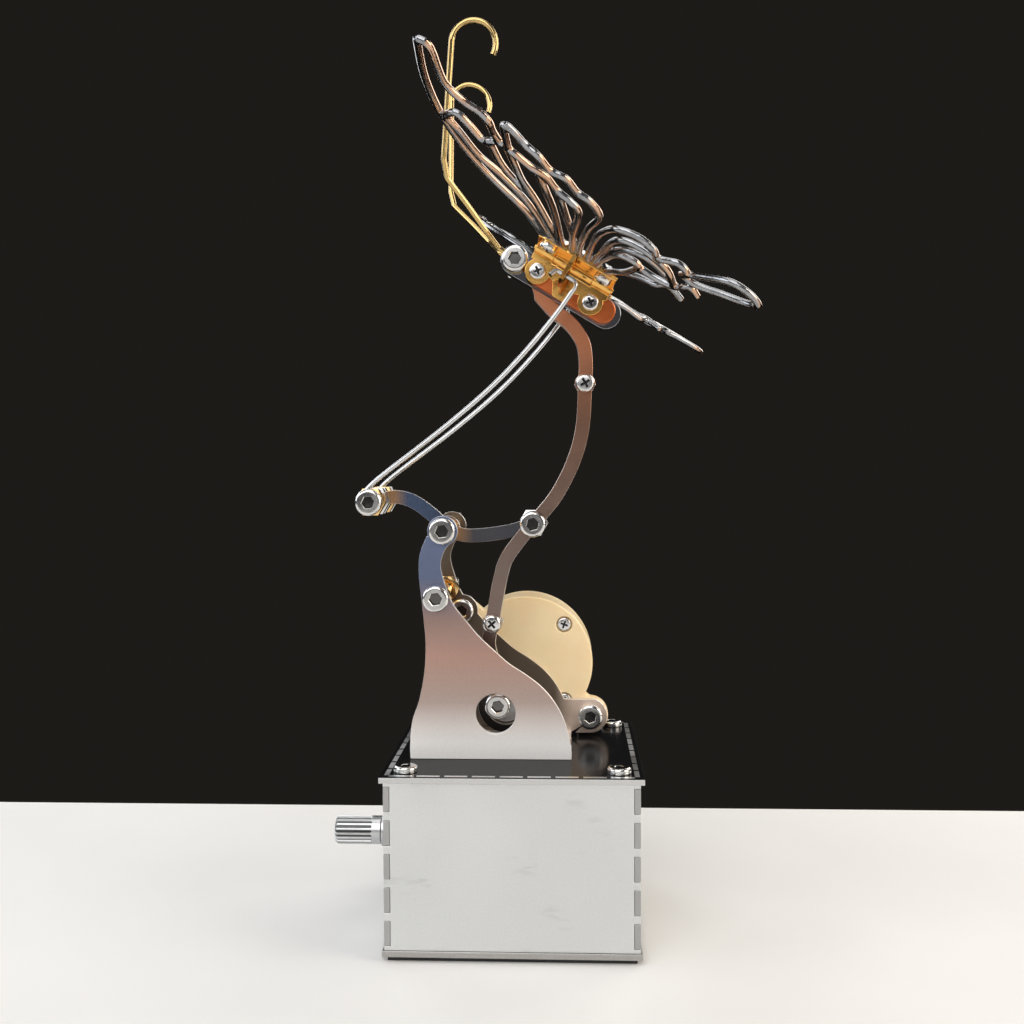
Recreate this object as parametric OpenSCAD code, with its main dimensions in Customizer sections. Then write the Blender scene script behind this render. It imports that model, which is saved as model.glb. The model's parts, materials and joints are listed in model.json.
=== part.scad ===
// Motor-driven mechanical butterfly on a square metal box, millimetres.
// Origin: centre of the underside. X to the right, Y to the back, Z up.

/* [Case] */
// outer width and depth of the four wall panels
case_w = 50; // [48:0.5:56]
// height of the wall panels
panel_h = 33.1; // [30:0.1:40]
// sheet thickness of the case
sheet_t = 1.2; // [1:0.1:1.5]
// overhang of the top plate past the walls
deck_lip = 0.75; // [0.5:0.05:2]
// thickness of the foot pad
pad_t = 1; // [0.6:0.1:1.5]
// distance of the corner screws from the outside of the walls
corner_in = 4; // [3.8:0.1:4.4]
// finger tabs on each upright edge
tabs_n = 5; // [3:1:6]
// share of the pitch that a tab fills
tab_fill = 0.74; // [0.5:0.02:0.8]

/* [Speed control] */
// height of the control shaft
pot_z = 18.2; // [14:0.1:22]
// shaft diameter
pot_d = 6; // [6:0.1:6.3]
// shaft end, distance from the box centre
pot_reach = 39; // [36:0.5:44]
// knurl length
knurl_l = 8; // [5:0.5:9]
// knurl grooves
knurl_n = 18; // [12:1:18]

/* [Frame] */
// thickness of the two frame plates
frame_t = 1.2; // [1:0.1:1.4]
// half distance between the inner faces of the frame plates
frame_gap = 9.8; // [9.6:0.1:10.4]
// depth of the bent foot flange
foot_d = 7; // [6:0.1:7.4]
// radius of the sight hole in the front plate
sight_r = 4.1; // [3.6:0.1:4.6]

/* [Gear motor] */
// housing radius
gear_r = 14.8; // [14.6:0.1:15]
// housing depth
gear_d = 10; // [9.6:0.1:11]
// motor can radius
motor_r = 9; // [7:0.5:10]
// motor can length
motor_l = 10; // [8:0.5:14]

/* [Linkage] */
// throw of the eccentric
throw_e = 1.6; // [1:0.1:1.7]
// bar width of the coupler and the rocker
bar_w = 2.9; // [2.6:0.1:3.1]
// bar thickness
bar_t = 1.2; // [1:0.1:1.3]
// wire diameter of the push rods
rod_d = 1; // [0.8:0.1:1.1]

/* [Butterfly] */
// nose-up tilt of the body, degrees
body_tilt = 31.1; // [29:0.1:33]
// dihedral of the wings at rest, degrees
dihedral = 9; // [5:0.5:12]
// width of the wing strands
vein_w = 1.5; // [1.3:0.1:1.7]
// thickness of the wings
wing_t = 1.3; // [1:0.1:1.4]
// hinge length along the body
hinge_l = 17.9; // [17:0.1:18.4]
// antenna wire diameter
antenna_d = 1.2; // [1:0.1:1.4]

/* [Hidden] */
$fn = 48;
gap = 0.05;
run = 0.05;
z_wall = pad_t + sheet_t;
z_under = z_wall + panel_h;
z_deck = z_under + sheet_t;
half = case_w / 2;
inner = half - sheet_t;
deck_w = case_w + 2 * deck_lip;
corner_xy = half - corner_in;
m3 = 1.5;
m3_head = 2.75;
m3_tall = 1.65;
nut_af = 5.5;
nut_h = 2.2;
// heights of the mechanism are measured from the top plate
function up(p) = p + [0, z_deck];
function ups(p) = [for (q = p) up(q)];
// pivots of the linkage in the X-Z plane
pivot_o = up([-14.5, 46.9]);
joint_j = up([3.7, 47.85]);
pin_l = up([-29.6, 52.8]);
crank_c = up([-3.8, 9.4]);
ring_p = crank_c + [throw_e, 0];
gear_m = up([1.7, 16.3]);
// two ears on one line through the gear motor's axis, far enough out for the nuts to clear its wall
ear_out = 3.6;
ear_turn = -39.5;
ear_dir = [cos(ear_turn), sin(ear_turn)];
ear_a = gear_m - (gear_r + ear_out) * ear_dir;
ear_b = gear_m + (gear_r + ear_out) * ear_dir;
// the tie bolt stands clear of the upper ear
tie_p = ear_a + [-3.4, 5.1];
screw_lo = up([-5, 26.8]);
screw_hi = up([14.75, 77.3]);
// body frame: hinge line centre, local x towards the tail
body_o = up([12.45, 100.3]);
barrel_y = 6.4;
barrel_r = 1;
leaf_t = 0.8;
axis_w = -4;
head_u = -11.8;
tail_u = 10.2;
leaf_y = barrel_y - barrel_r;
hole_u = 6.3;
// layers in Y
bar_y = 1;
mid_t = 2 * bar_y;
rock_t = 1.2;
thorax_y = bar_y + bar_t;
ring_bore = throw_e * 1.42 + m3 + 0.35;
horn_u = -0.5;
horn_s = 5.4;
horn_d = 3.6;
rod_plane = 9.5;

base_pad();
bottom_plate();
front_panel();
rear_panel();
left_panel();
right_panel();
top_plate();
corner_posts();
case_screws();
control_board();
pot_body();
pot_nut();
pot_shaft();
power_socket();
motor_leads();
lead_grommet();
front_frame_plate();
rear_frame_plate();
foot_screws();
frame_bolts();
frame_nuts();
pivot_spacers();
gearbox_housing();
gearbox_cover();
cover_screws();
motor_can();
motor_pinion();
idler_gear();
output_gear();
mount_bolts();
eccentric();
crank_bolt();
rocker_plate();
pushrod_pin();
pushrod_pin_nuts();
coupler_front();
coupler_rear();
coupler_screws();
coupler_screw_nuts();
coupler_spacers();
joint_bolt();
joint_washers();
body_nuts();
body_core();
thorax_bars();
head_bolt();
antennae();
fixed_leaves();
leaf_screws();
hinge_pins();
near_wing_leaf();
far_wing_leaf();
near_wing();
far_wing();
near_wing_screws();
far_wing_screws();
near_pushrod();
far_pushrod();

// smooth curve through a few points, and a band of constant width along it
function cr(a, b, c, d, t) =
  0.5 * (2 * b + (c - a) * t + (2 * a - 5 * b + 4 * c - d) * t * t + (3 * b - a - 3 * c + d) * t * t * t);
function pick(p, i) = p[min(max(i, 0), len(p) - 1)];
function smooth(p, n) =
  concat([for (i = [0:len(p) - 2], k = [0:n - 1])
    cr(pick(p, i - 1), p[i], p[i + 1], pick(p, i + 2), k / n)], [p[len(p) - 1]]);
function side(p, i) = let (d = pick(p, i + 1) - pick(p, i - 1)) [-d[1], d[0]] / norm(d);
function ribbon(p, w) =
  concat([for (i = [0:len(p) - 1]) p[i] + side(p, i) * w / 2],
    [for (i = [len(p) - 1:-1:0]) p[i] - side(p, i) * w / 2]);

module strand(p, w, n) {
  polygon(ribbon(smooth(p, n), w));
}
// upright sheet from y to y + t, drawn in X-Z
module sheet(y, t) {
  for (i = [0:$children - 1]) translate([0, y + t, 0]) rotate([90, 0, 0]) linear_extrude(t) children(i);
}
module rod_y(p, y0, y1, r) {
  translate([p[0], y1, p[1]]) rotate([90, 0, 0]) cylinder(h = y1 - y0, r = r);
}
// button head above z = 0 with a hexagon socket, shank below
module button(r, h, shank_r, shank_l, key) {
  difference() {
    union() {
      rotate_extrude() polygon([[0, 0], [r, 0], [r, 0.35 * h], [0.9 * r, 0.68 * h], [0.72 * r, 0.9 * h],
        [0.5 * r, h], [0, h]]);
      translate([0, 0, -shank_l]) cylinder(h = shank_l + 0.2, r = shank_r);
    }
    translate([0, 0, 0.45 * h]) cylinder(h = h, r = key, $fn = 6);
  }
}
// round head with a cross recess
module cross_screw(r, h, shank_r, shank_l) {
  difference() {
    union() {
      rotate_extrude() polygon([[0, 0], [r, 0], [r, 0.4 * h], [0.85 * r, 0.8 * h], [0.55 * r, h], [0, h]]);
      translate([0, 0, -shank_l]) cylinder(h = shank_l + 0.2, r = shank_r);
    }
    for (a = [0, 90])
      rotate([0, 0, a]) translate([-0.62 * r, -0.14 * r, 0.45 * h]) cube([1.24 * r, 0.28 * r, h]);
  }
}
// heads that face the viewer (towards -Y) with the seat at y
module facing(p, y) {
  translate([p[0], y, p[1]]) rotate([90, 0, 0]) children();
}
module hex_nut(p, y, h, af, bore, turn = 0) {
  translate([p[0], y + h, p[1]]) rotate([90, 0, 0]) difference() {
    rotate([0, 0, turn]) cylinder(h = h, r = af / sqrt(3), $fn = 6);
    translate([0, 0, -1]) cylinder(h = h + 2, r = bore);
  }
}
module tube_y(p, y0, y1, r, bore) {
  difference() {
    rod_y(p, y0, y1, r);
    rod_y(p, y0 - 1, y1 + 1, bore);
  }
}
// round wire through a list of points
module wire(p, r) {
  for (i = [0:len(p) - 2]) {
    let (d = p[i + 1] - p[i], l = norm(d)) translate(p[i])
      rotate([0, acos(d[2] / l), atan2(d[1], d[0])]) cylinder(h = l, r = r, $fn = 20);
  }
  for (i = [1:len(p) - 2]) translate(p[i]) sphere(1.04 * r, $fn = 20);
}
// soft wire: one tube swept along a smooth path; ref is square to most of the path
function unit(v) = v / norm(v);
function ring(p, i, r, ref, sides) =
  let (t = unit(pick(p, i + 1) - pick(p, i - 1)), a = unit(cross(t, ref)), b = cross(a, t))
    [for (k = [0:sides - 1]) p[i] + r * (a * cos(360 * k / sides) + b * sin(360 * k / sides))];
module tube(p, r, ref, sides) {
  last = (len(p) - 1) * sides;
  polyhedron([for (i = [0:len(p) - 1]) each ring(p, i, r, ref, sides)], concat(
    [for (i = [0:len(p) - 2], k = [0:sides - 1]) let (a = i * sides + k, b = i * sides + (k + 1) % sides)
      each [[a, b, b + sides], [a, b + sides, a + sides]]],
    [for (k = [1:sides - 2]) [0, k + 1, k]],
    [for (k = [1:sides - 2]) [last, last + k, last + k + 1]]));
}
module corners() {
  for (x = [-1, 1], y = [-1, 1]) translate([x * corner_xy, y * corner_xy, 0]) children();
}
module in_body() {
  translate([body_o[0], 0, body_o[1]]) rotate([0, body_tilt, 0]) children();
}
// plane of the near wing: local -Y runs outward, Z is the upper face
module near_plane() {
  in_body() translate([0, -barrel_y, 0]) rotate([-dihedral, 0, 0]) children();
}
module both_sides() {
  children();
  mirror([0, 1, 0]) children();
}

module base_pad() {
  color("#2b2b2d") translate([-half + 0.6, -half + 0.6, 0]) cube([case_w - 1.2, case_w - 1.2, pad_t]);
}
module bottom_plate() {
  w = case_w + 0.8;
  color("#c9cbcd") difference() {
    translate([-w / 2, -w / 2, pad_t]) cube([w, w, sheet_t]);
    corners() translate([0, 0, pad_t - 0.01]) cylinder(h = 1.02, r1 = 2.36, r2 = 1.3);
    corners() cylinder(h = 10, r = 1.3);
  }
}
pitch = panel_h / tabs_n;
// slots or tabs on one upright edge, seen along x = 0 .. sheet_t
module edge_row(w, extra) {
  for (i = [0:tabs_n - 1])
    translate([0, z_wall + (i + 0.5) * pitch - tab_fill * pitch / 2 - extra])
      square([w, tab_fill * pitch + 2 * extra]);
}
module wall_panel() {
  difference() {
    translate([-half, z_wall]) square([case_w, panel_h]);
    translate([-half - 1, 0]) edge_row(sheet_t + 1 + gap, gap);
    translate([inner - gap, 0]) edge_row(sheet_t + 1, gap);
  }
}
module front_panel() {
  color("#b9bcc0") sheet(-half, sheet_t) wall_panel();
}
socket_x = 9;
socket_z = 10;
module rear_panel() {
  color("#b9bcc0") difference() {
    sheet(inner, sheet_t) wall_panel();
    translate([socket_x - 4.6, inner - 1, socket_z - 1.75]) cube([9.2, 4, 3.5]);
  }
}
module side_wall() {
  difference() {
    translate([-half, z_wall]) square([case_w, panel_h]);
    translate([-half - 1, 0]) gap_row();
    translate([inner, 0]) gap_row();
  }
}
// spaces between the tabs of a side wall
module gap_row() {
  for (i = [0:tabs_n])
    translate([0, z_wall + (i - 0.5) * pitch + tab_fill * pitch / 2])
      square([sheet_t + 1, (1 - tab_fill) * pitch]);
}
module left_panel() {
  color("#b9bcc0") difference() {
    rotate([0, 0, 90]) sheet(inner, sheet_t) side_wall();
    translate([-half - 1, 0, pot_z]) rotate([0, 90, 0]) cylinder(h = 4, r = 3.55);
  }
}
module right_panel() {
  color("#b9bcc0") rotate([0, 0, 90]) sheet(-half, sheet_t) side_wall();
}
lead_p = [12, inner - 3.3];
foot_x = [-16, 6.5];
foot_screw_y = frame_gap - foot_d / 2;
module top_plate() {
  color("#17181b") difference() {
    translate([-deck_w / 2, -deck_w / 2, z_under]) cube([deck_w, deck_w, sheet_t]);
    corners() cylinder(h = z_deck + 1, r = 1.3);
    translate([lead_p[0], lead_p[1], 0]) cylinder(h = z_deck + 1, r = 2.3);
    for (x = foot_x, s = [-1, 1]) translate([x, s * foot_screw_y, 0]) cylinder(h = z_deck + 1, r = 1.05);
  }
}
module corner_posts() {
  color("#d2b25a") corners() difference() {
    translate([0, 0, z_wall]) cylinder(h = panel_h, r = 2.5, $fn = 6);
    translate([0, 0, z_wall - 1]) cylinder(h = panel_h + 2, r = 1.3);
  }
}
module case_screws() {
  color("#d9dbde") {
    corners() translate([0, 0, z_deck]) button(2.35, 1.3, 1.25, 7, 0.85);
    corners() difference() {
      union() {
        translate([0, 0, pad_t]) cylinder(h = 1, r1 = 2.3, r2 = 1.25);
        translate([0, 0, pad_t]) cylinder(h = 7, r = 1.25);
      }
      translate([0, 0, pad_t - 0.5]) cylinder(h = 1.1, r = 0.8, $fn = 6);
    }
  }
}
board_z = 7;
board_t = 1.2;
board_l = inner - 6.8;
board_r = inner - 7.8;
module control_board() {
  color("#1f5a3a") {
    translate([-board_l, -board_r, board_z]) cube([board_l + board_r, 2 * board_r, board_t]);
    for (x = [-8, 10], y = [-11, 11]) translate([x, y, z_wall]) cylinder(h = board_z - z_wall + 0.1, r = 2);
    translate([-2, -9, board_z + 1.1]) cube([7, 9, 2.2]);
    translate([11, -9, board_z + 1.1]) cylinder(h = 11, r = 3.2);
    translate([-11, -4, board_z + 1.1]) cube([1.6, 8, pot_z - board_z - 8]);
  }
}
pot_x = -inner;
bush_l = 5.2;
groove_w = 0.2;
groove_d = 0.3;
knurl_turn = 2.5;
stem_r = pot_d / 2 - 0.4;
pot_free = pot_reach + pot_x - bush_l - 0.2;
module pot_body() {
  color("#8d9094") difference() {
    union() {
      translate([pot_x, 0, pot_z]) rotate([0, 90, 0]) cylinder(h = 8.5, r = 8);
      translate([pot_x - bush_l, 0, pot_z]) rotate([0, 90, 0]) cylinder(h = bush_l + 1, r = 3.45);
    }
    translate([pot_x - 6, 0, pot_z]) rotate([0, 90, 0]) cylinder(h = 10, r = stem_r + run);
  }
}
module pot_nut() {
  color("#d0d2d5") translate([-half - 2, 0, pot_z]) rotate([0, 90, 0]) difference() {
    cylinder(h = 2, r = 10 / sqrt(3), $fn = 6);
    translate([0, 0, -1]) cylinder(h = 4, r = 3.5);
  }
}
module pot_shaft() {
  color("#c6c8cb") translate([-pot_reach, 0, pot_z]) rotate([0, 90, 0]) difference() {
    union() {
      cylinder(h = 0.5, r1 = pot_d / 2 - 0.45, r2 = pot_d / 2);
      translate([0, 0, 0.5]) cylinder(h = pot_free - 0.5, r = pot_d / 2);
      translate([0, 0, 1]) cylinder(h = pot_reach + pot_x + 3, r = stem_r);
    }
    for (i = [0:knurl_n - 1]) rotate([0, 0, i * 360 / knurl_n + knurl_turn])
      translate([pot_d / 2 - groove_d, -groove_w / 2, -1]) cube([1, groove_w, knurl_l + 1]);
  }
}
module power_socket() {
  color("#b4b6b9") difference() {
    union() {
      translate([socket_x - 4.5, inner - 6, socket_z - 1.65]) cube([9, 7.4, 3.3]);
      translate([socket_x - 3, inner - 6, board_z + board_t]) cube([6, 4, socket_z - board_z - board_t]);
    }
    translate([socket_x - 4.1, inner - 4.5, socket_z - 1.25]) cube([8.2, 8, 2.5]);
  }
}
motor_y = frame_gap + frame_t + gear_d + 1.2;
module lead_grommet() {
  color("#202022") translate([lead_p[0], lead_p[1], 0]) difference() {
    union() {
      translate([0, 0, z_under - 0.8]) cylinder(h = 0.8, r = 3);
      translate([0, 0, z_under - 0.4]) cylinder(h = 2, r = 2.25);
      translate([0, 0, z_deck]) cylinder(h = 0.8, r = 3);
    }
    translate([0, 0, z_under - 2]) cylinder(h = 10, r = 1.7);
  }
}
// two insulated leads: down from the motor's tags, through the grommet, onto the board
lead_r = 0.55;
lead_step = 0.8;
tag_x = 3.5;
tag_drop = 0.1;
lead_end_y = 10;
module motor_leads() {
  tag_y = motor_y + motor_l + 0.9;
  board_top = board_z + board_t;
  for (s = [-1, 1]) let (x0 = gear_m[0] + tag_x * s, x1 = lead_p[0] + lead_step * s)
    color(s > 0 ? "#a02020" : "#202020") tube(smooth([[x0, tag_y, gear_m[1] - tag_drop],
      [x0, tag_y, z_deck + 11], [x0 + 0.4, tag_y, z_deck + 6.2], [x1, lead_p[1] + 6, z_deck + 3.8],
      [x1, lead_p[1] + 0.8, z_deck + 2.4], [x1, lead_p[1], z_deck], [x1, lead_p[1], z_under - 5],
      [x1, lead_p[1] - 3, z_under - 12], [x1, lead_end_y + 0.4, board_top + 6],
      [x1, lead_end_y, board_top + 3], [x1, lead_end_y, board_top]], 3), lead_r, [1, 0, 0], 8);
}

// outline shared by the two frame plates
foot_l = -21.4;
foot_r = 11.7;
left_edge = ups([[foot_l, 0], [-21.45, 2.9], [-21, 7.7], [-19.5, 12.2], [-18.4, 18], [-18.1, 23.5],
  [-18.4, 28], [-18.9, 33], [-19.4, 38], [-19.2, 42], [-17.7, 45.9]]);
right_edge = ups([[-12.2, 45], [-14, 43.1], [-14.9, 39.8], [-13.9, 35.7], [-12.4, 31.9], [-10.1, 28.9],
  [-7.4, 25.6], [-4.5, 22.8], [-1, 19.7], [2.65, 17.3], [6.1, 14.5], [8.8, 11], [10.5, 7.3],
  [11.6, 2.7], [foot_r, 0]]);
module frame_shape() {
  polygon(concat(smooth(left_edge, 4), smooth(right_edge, 4)));
}
module frame_body(y) {
  sheet(y, frame_t) frame_shape();
  rod_y(pivot_o, y, y + frame_t, 3.1);
  translate([foot_l, y, z_deck]) cube([foot_r - foot_l, frame_t, 1.5]);
}
module frame_holes(y0, y1) {
  rod_y(pivot_o, y0, y1, m3 + run);
  rod_y(tie_p, y0, y1, m3 + run);
}
module foot(y) {
  translate([foot_l, y, z_deck]) cube([foot_r - foot_l, foot_d + 0.1, frame_t]);
}
module foot_holes() {
  for (x = foot_x, s = [-1, 1]) translate([x, s * foot_screw_y, z_deck - 1]) cylinder(h = 5, r = 1.05);
}
module frame_cut() {
  translate([-40, -20, z_deck - 5]) cube([80, 40, 5]);
}
frame_out = frame_gap + frame_t;
module front_frame_plate() {
  color("#a7abb0") difference() {
    union() {
      frame_body(-frame_out);
      foot(-frame_gap - 0.1);
    }
    frame_cut();
    frame_holes(-20, 0);
    rod_y(crank_c, -20, 0, sight_r);
    foot_holes();
  }
}
module rear_frame_plate() {
  color("#a7abb0") difference() {
    union() {
      frame_body(frame_gap);
      translate([4, frame_gap, ear_b[1] - 3.8]) cube([ear_b[0] - 4, frame_t, 7.6]);
      rod_y(ear_b, frame_gap, frame_out, 3.8);
      rod_y(ear_a, frame_gap, frame_out, 3.6);
      foot(frame_gap - foot_d);
    }
    frame_cut();
    frame_holes(0, 20);
    rod_y(crank_c, 0, 20, 3.4);
    for (p = [ear_a, ear_b]) rod_y(p, 0, 20, m3 + run);
    foot_holes();
  }
}
module foot_screws() {
  color("#d9dbde") for (x = foot_x, s = [-1, 1]) translate([x, s * foot_screw_y, z_deck + frame_t])
    button(1.9, 1.2, 1, 3.4, 0.7);
}
module frame_bolts() {
  color("#d9dbde") for (p = [pivot_o, tie_p])
    facing(p, -frame_out) button(m3_head, m3_tall, m3, 2 * frame_out + nut_h + 0.8, 1.15);
}
module frame_nuts() {
  color("#d9dbde") {
    hex_nut(pivot_o, frame_out, nut_h, nut_af, m3 + gap);
    hex_nut(tie_p, frame_out, nut_h, nut_af, m3 + gap, tie_turn);
    hex_nut(tie_p, -frame_gap, nut_h, nut_af, m3 + gap);
    hex_nut(tie_p, frame_gap - nut_h, nut_h, nut_af, m3 + gap);
    for (p = [ear_a, ear_b]) hex_nut(p, frame_out + ear_t, nut_h, nut_af, m3 + gap);
  }
}
module pivot_spacers() {
  color("#d2b25a") {
    tube_y(pivot_o, -frame_gap, -rock_t / 2 - run, 2.4, m3 + gap);
    tube_y(pivot_o, rock_t / 2 + run, frame_gap, 2.4, m3 + gap);
  }
}

// gear train: output on the crank line, idler, pinion on the motor line
mod = 0.4;
mesh_gap = 0.12;
out_n = 20;
idl_n = 24;
sml_n = 10;
pin_n = 10;
d_mi = mod * (pin_n + idl_n) / 2 + mesh_gap;
d_ci = mod * (out_n + sml_n) / 2 + mesh_gap;
mc = crank_c - gear_m;
d_mc = norm(mc);
ang_mc = atan2(mc[1], mc[0]);
ang_i = ang_mc + acos((d_mi * d_mi + d_mc * d_mc - d_ci * d_ci) / (2 * d_mi * d_mc));
idler_p = gear_m + d_mi * [cos(ang_i), sin(ang_i)];
ci = idler_p - crank_c;
ang_ci = atan2(ci[1], ci[0]);
front_wall = frame_out + 1.6;
lay_1 = front_wall + 0.4;
lay_2 = lay_1 + 3.2;
tooth_y = 2.4;
// plain toothed disc, one tooth centred on its local x
module gear_disc(n) {
  rp = mod * n / 2;
  step = 360 / n;
  polygon([for (i = [0:n - 1], k = [0:3])
    let (a = (i + [-0.27, -0.12, 0.12, 0.27][k]) * step, r = rp + [-1.2, 0.85, 0.85, -1.2][k] * mod)
      r * [cos(a), sin(a)]]);
}
module gear_at(p, y, h, n, a) {
  sheet(y, h) translate(p) rotate(a) gear_disc(n);
}
housing_y = frame_out;
cover_y = housing_y + gear_d;
ear_t = 3;
ear_ra = 3.1;
ear_rb = 4;
tie_turn = 33.7;
module gearbox_housing() {
  color("#ece4d2") difference() {
    union() {
      difference() {
        union() {
          rod_y(gear_m, housing_y, cover_y, gear_r);
          rod_y(ear_a, housing_y, housing_y + ear_t, ear_ra);
          rod_y(ear_b, housing_y, housing_y + ear_t, ear_rb);
          sheet(housing_y, ear_t) strand([ear_a, ear_b], 2 * ear_ra, 1);
        }
        rod_y(gear_m, front_wall, cover_y + 1, gear_r - 1.2);
      }
      for (p = cover_p) rod_y(p, front_wall - 0.2, cover_y, boss_r);
      rod_y(idler_p, front_wall - 0.2, lay_2 + tooth_y + 0.6, 0.8);
    }
    for (p = [ear_a, ear_b]) rod_y(p, 0, 40, m3 + run);
    rod_y(crank_c, 0, front_wall + 0.1, 2 + run);
    for (p = cover_p) {
      rod_y(p, housing_y - 1, housing_y + sink_d, 1.7);
      rod_y(p, housing_y, cover_y + 1, 0.8);
    }
  }
}
// housing screws sit in recesses of the front face and thread into the cover
boss_r = 1.9;
sink_d = 1.1;
cover_p = [for (a = [45, 135, 315]) gear_m + (gear_r - 2.8) * [cos(a), sin(a)]];
module gearbox_cover() {
  color("#e6ddca") difference() {
    rod_y(gear_m, cover_y, cover_y + 1.2, gear_r);
    rod_y(gear_m, 0, 60, 1.6);
    for (p = cover_p) rod_y(p, 0, 60, 0.8);
  }
}
module cover_screws() {
  color("#c9cbcd") for (p = cover_p) facing(p, housing_y + sink_d)
    cross_screw(1.6, 1, 0.75, gear_d - sink_d + 1);
}
module motor_can() {
  color("#b4b6b9") {
    difference() {
      rod_y(gear_m, motor_y, motor_y + motor_l, motor_r);
      rod_y(gear_m, motor_y - 1, motor_y + 4, 0.75 + run);
    }
    rod_y(gear_m, motor_y + motor_l - 0.1, motor_y + motor_l + 1, 2.4);
    for (s = [-1, 1]) translate([gear_m[0] + tag_x * s - 0.4, motor_y + motor_l - 0.1, gear_m[1] - tag_drop])
      cube([0.8, 1.9, 1.6]);
  }
}
module motor_pinion() {
  color("#d2b25a") {
    gear_at(gear_m, lay_2, tooth_y, pin_n, ang_i);
    rod_y(gear_m, lay_2, motor_y + 3.5, 0.75);
  }
}
module idler_gear() {
  big_a = ang_i + 180 / idl_n + 180;
  small_a = ang_ci + 180 + 180 / sml_n;
  color("#f0ede4") difference() {
    union() {
      gear_at(idler_p, lay_2, tooth_y, idl_n, big_a);
      gear_at(idler_p, lay_1, lay_2 - lay_1 + 0.1, sml_n, small_a);
    }
    rod_y(idler_p, 0, 60, 0.8 + run);
  }
}
module output_gear() {
  color("#f0ede4") {
    gear_at(crank_c, lay_1, tooth_y, out_n, ang_ci);
    rod_y(crank_c, 5.2, lay_1 + 0.2, 2);
  }
}
module mount_bolts() {
  color("#d9dbde") for (p = [ear_a, ear_b])
    facing(p, frame_gap) button(m3_head, m3_tall, m3, frame_t + ear_t + nut_h + 1, 1.15);
}

// eccentric on the output shaft; its disc stands just behind the strap of the front bar
strap_gap = 0.3;
ecc_front = -bar_y + strap_gap;
module eccentric() {
  color("#c9cbcd") difference() {
    union() {
      rod_y(ring_p, ecc_front, 2.2, ring_bore - 0.3);
      rod_y(crank_c, 2, 8.8, 3.2);
    }
    rod_y(crank_c, 5, 20, 2 + gap);
    rod_y(crank_c, -20, 20, m3 + gap);
  }
}
bolt_front = -bar_y - bar_t - strap_gap;
module crank_bolt() {
  color("#d9dbde") facing(crank_c, bolt_front) button(m3_head, m3_tall, m3, 5 - bolt_front, 1.15);
}
rock_pts = [pin_l, each ups([[-25.5, 53.6], [-21.7, 52.6], [-18, 50]]), pivot_o,
  each ups([[-11.2, 45.5], [-7.6, 45.4], [-3.3, 45.9], [0.1, 46.6]]), joint_j];
module rocker_plate() {
  color("#aeb2b7") difference() {
    union() {
      sheet(-rock_t / 2, rock_t) strand(rock_pts, bar_w, 4);
      for (p = [pin_l, pivot_o, joint_j]) rod_y(p, -rock_t / 2, rock_t / 2, 2.7);
    }
    rod_y(pin_l, -5, 5, m3 + gap);
    rod_y(pivot_o, -5, 5, m3 + run);
    rod_y(joint_j, -5, 5, m3 + run);
  }
}
eye_h = rod_d;
pin_front = -rod_plane - eye_h / 2 - 0.2;
module pushrod_pin() {
  color("#d9dbde") facing(pin_l, pin_front) button(m3_head, m3_tall, m3, -2 * pin_front + nut_h + 0.4, 1.15);
}
module pushrod_pin_nuts() {
  color("#d9dbde") {
    hex_nut(pin_l, -pin_front, nut_h, nut_af, m3 + gap);
    hex_nut(pin_l, rock_t / 2, nut_h, nut_af, m3 + gap);
    hex_nut(pin_l, -rock_t / 2 - nut_h, nut_h, nut_af, m3 + gap);
    hex_nut(pin_l, -rod_plane + eye_h / 2 + 0.2, nut_h, nut_af, m3 + gap);
    hex_nut(pin_l, rod_plane - eye_h / 2 - 0.2 - nut_h, nut_h, nut_af, m3 + gap);
  }
}

// coupler: curved bar from the strap to the body, with the body plate on its upper end
strap_r = ring_bore + 1.7;
bar_low = [ring_p + [-1.2, strap_r - 1], each ups([[-4.4, 17.5], [-5.7, 22.3]]), screw_lo,
  each ups([[-4.1, 31.8], [-3.3, 36], [-2, 40.3], [0.8, 44.3]]), joint_j];
bar_high = [joint_j, each ups([[8, 52.9], [10.5, 57.1], [12.4, 61.3], [13.7, 65.5], [14.4, 70]]), screw_hi,
  each ups([[14.9, 82], [14.2, 86.1], [11.8, 89.7], [8.4, 92.5], [5.2, 96.1]])];
// the arm's upper end runs out to a point along the body plate's edge
arm_end = bar_high[len(bar_high) - 1];
arm_back = bar_high[len(bar_high) - 2];
arm_way = (arm_end - arm_back) / norm(arm_end - arm_back);
arm_side = left_of(arm_back, arm_end) * 0.96 * bar_w / 2;
tip_l = 2.5;
// capsule slab in the body frame
module capsule(u0, u1, r, y, t) {
  in_body() {
    rod_y([u0, axis_w], y, y + t, r);
    rod_y([u1, axis_w], y, y + t, r);
    translate([u0, y, axis_w - r]) cube([u1 - u0, t, 2 * r]);
  }
}
module body_bores() {
  rod_y(joint_j, -5, 5, m3 + gap);
  for (p = [screw_lo, screw_hi]) rod_y(p, -5, 5, 1.05);
  in_body() rod_y([head_u, axis_w], -9, 9, m3 + gap);
  for (s = [-1, 1]) in_body() rod_y([s * hole_u, axis_w], -9, 9, 1.05);
}
module bar_body(low, y) {
  sheet(y, bar_t) strand(low, bar_w, 4);
  sheet(y, bar_t) strand(bar_high, bar_w, 4);
  sheet(y, bar_t) polygon([arm_end + arm_side - 0.3 * arm_way, arm_end - arm_side - 0.3 * arm_way,
    arm_end + tip_l * arm_way]);
  rod_y(joint_j, y, y + bar_t, 2.6);
  rod_y(screw_hi, y, y + bar_t, 2.1);
  rod_y(screw_lo, y, y + bar_t, 2.1);
  capsule(head_u, tail_u, 3.1, y, bar_t);
}
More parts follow.
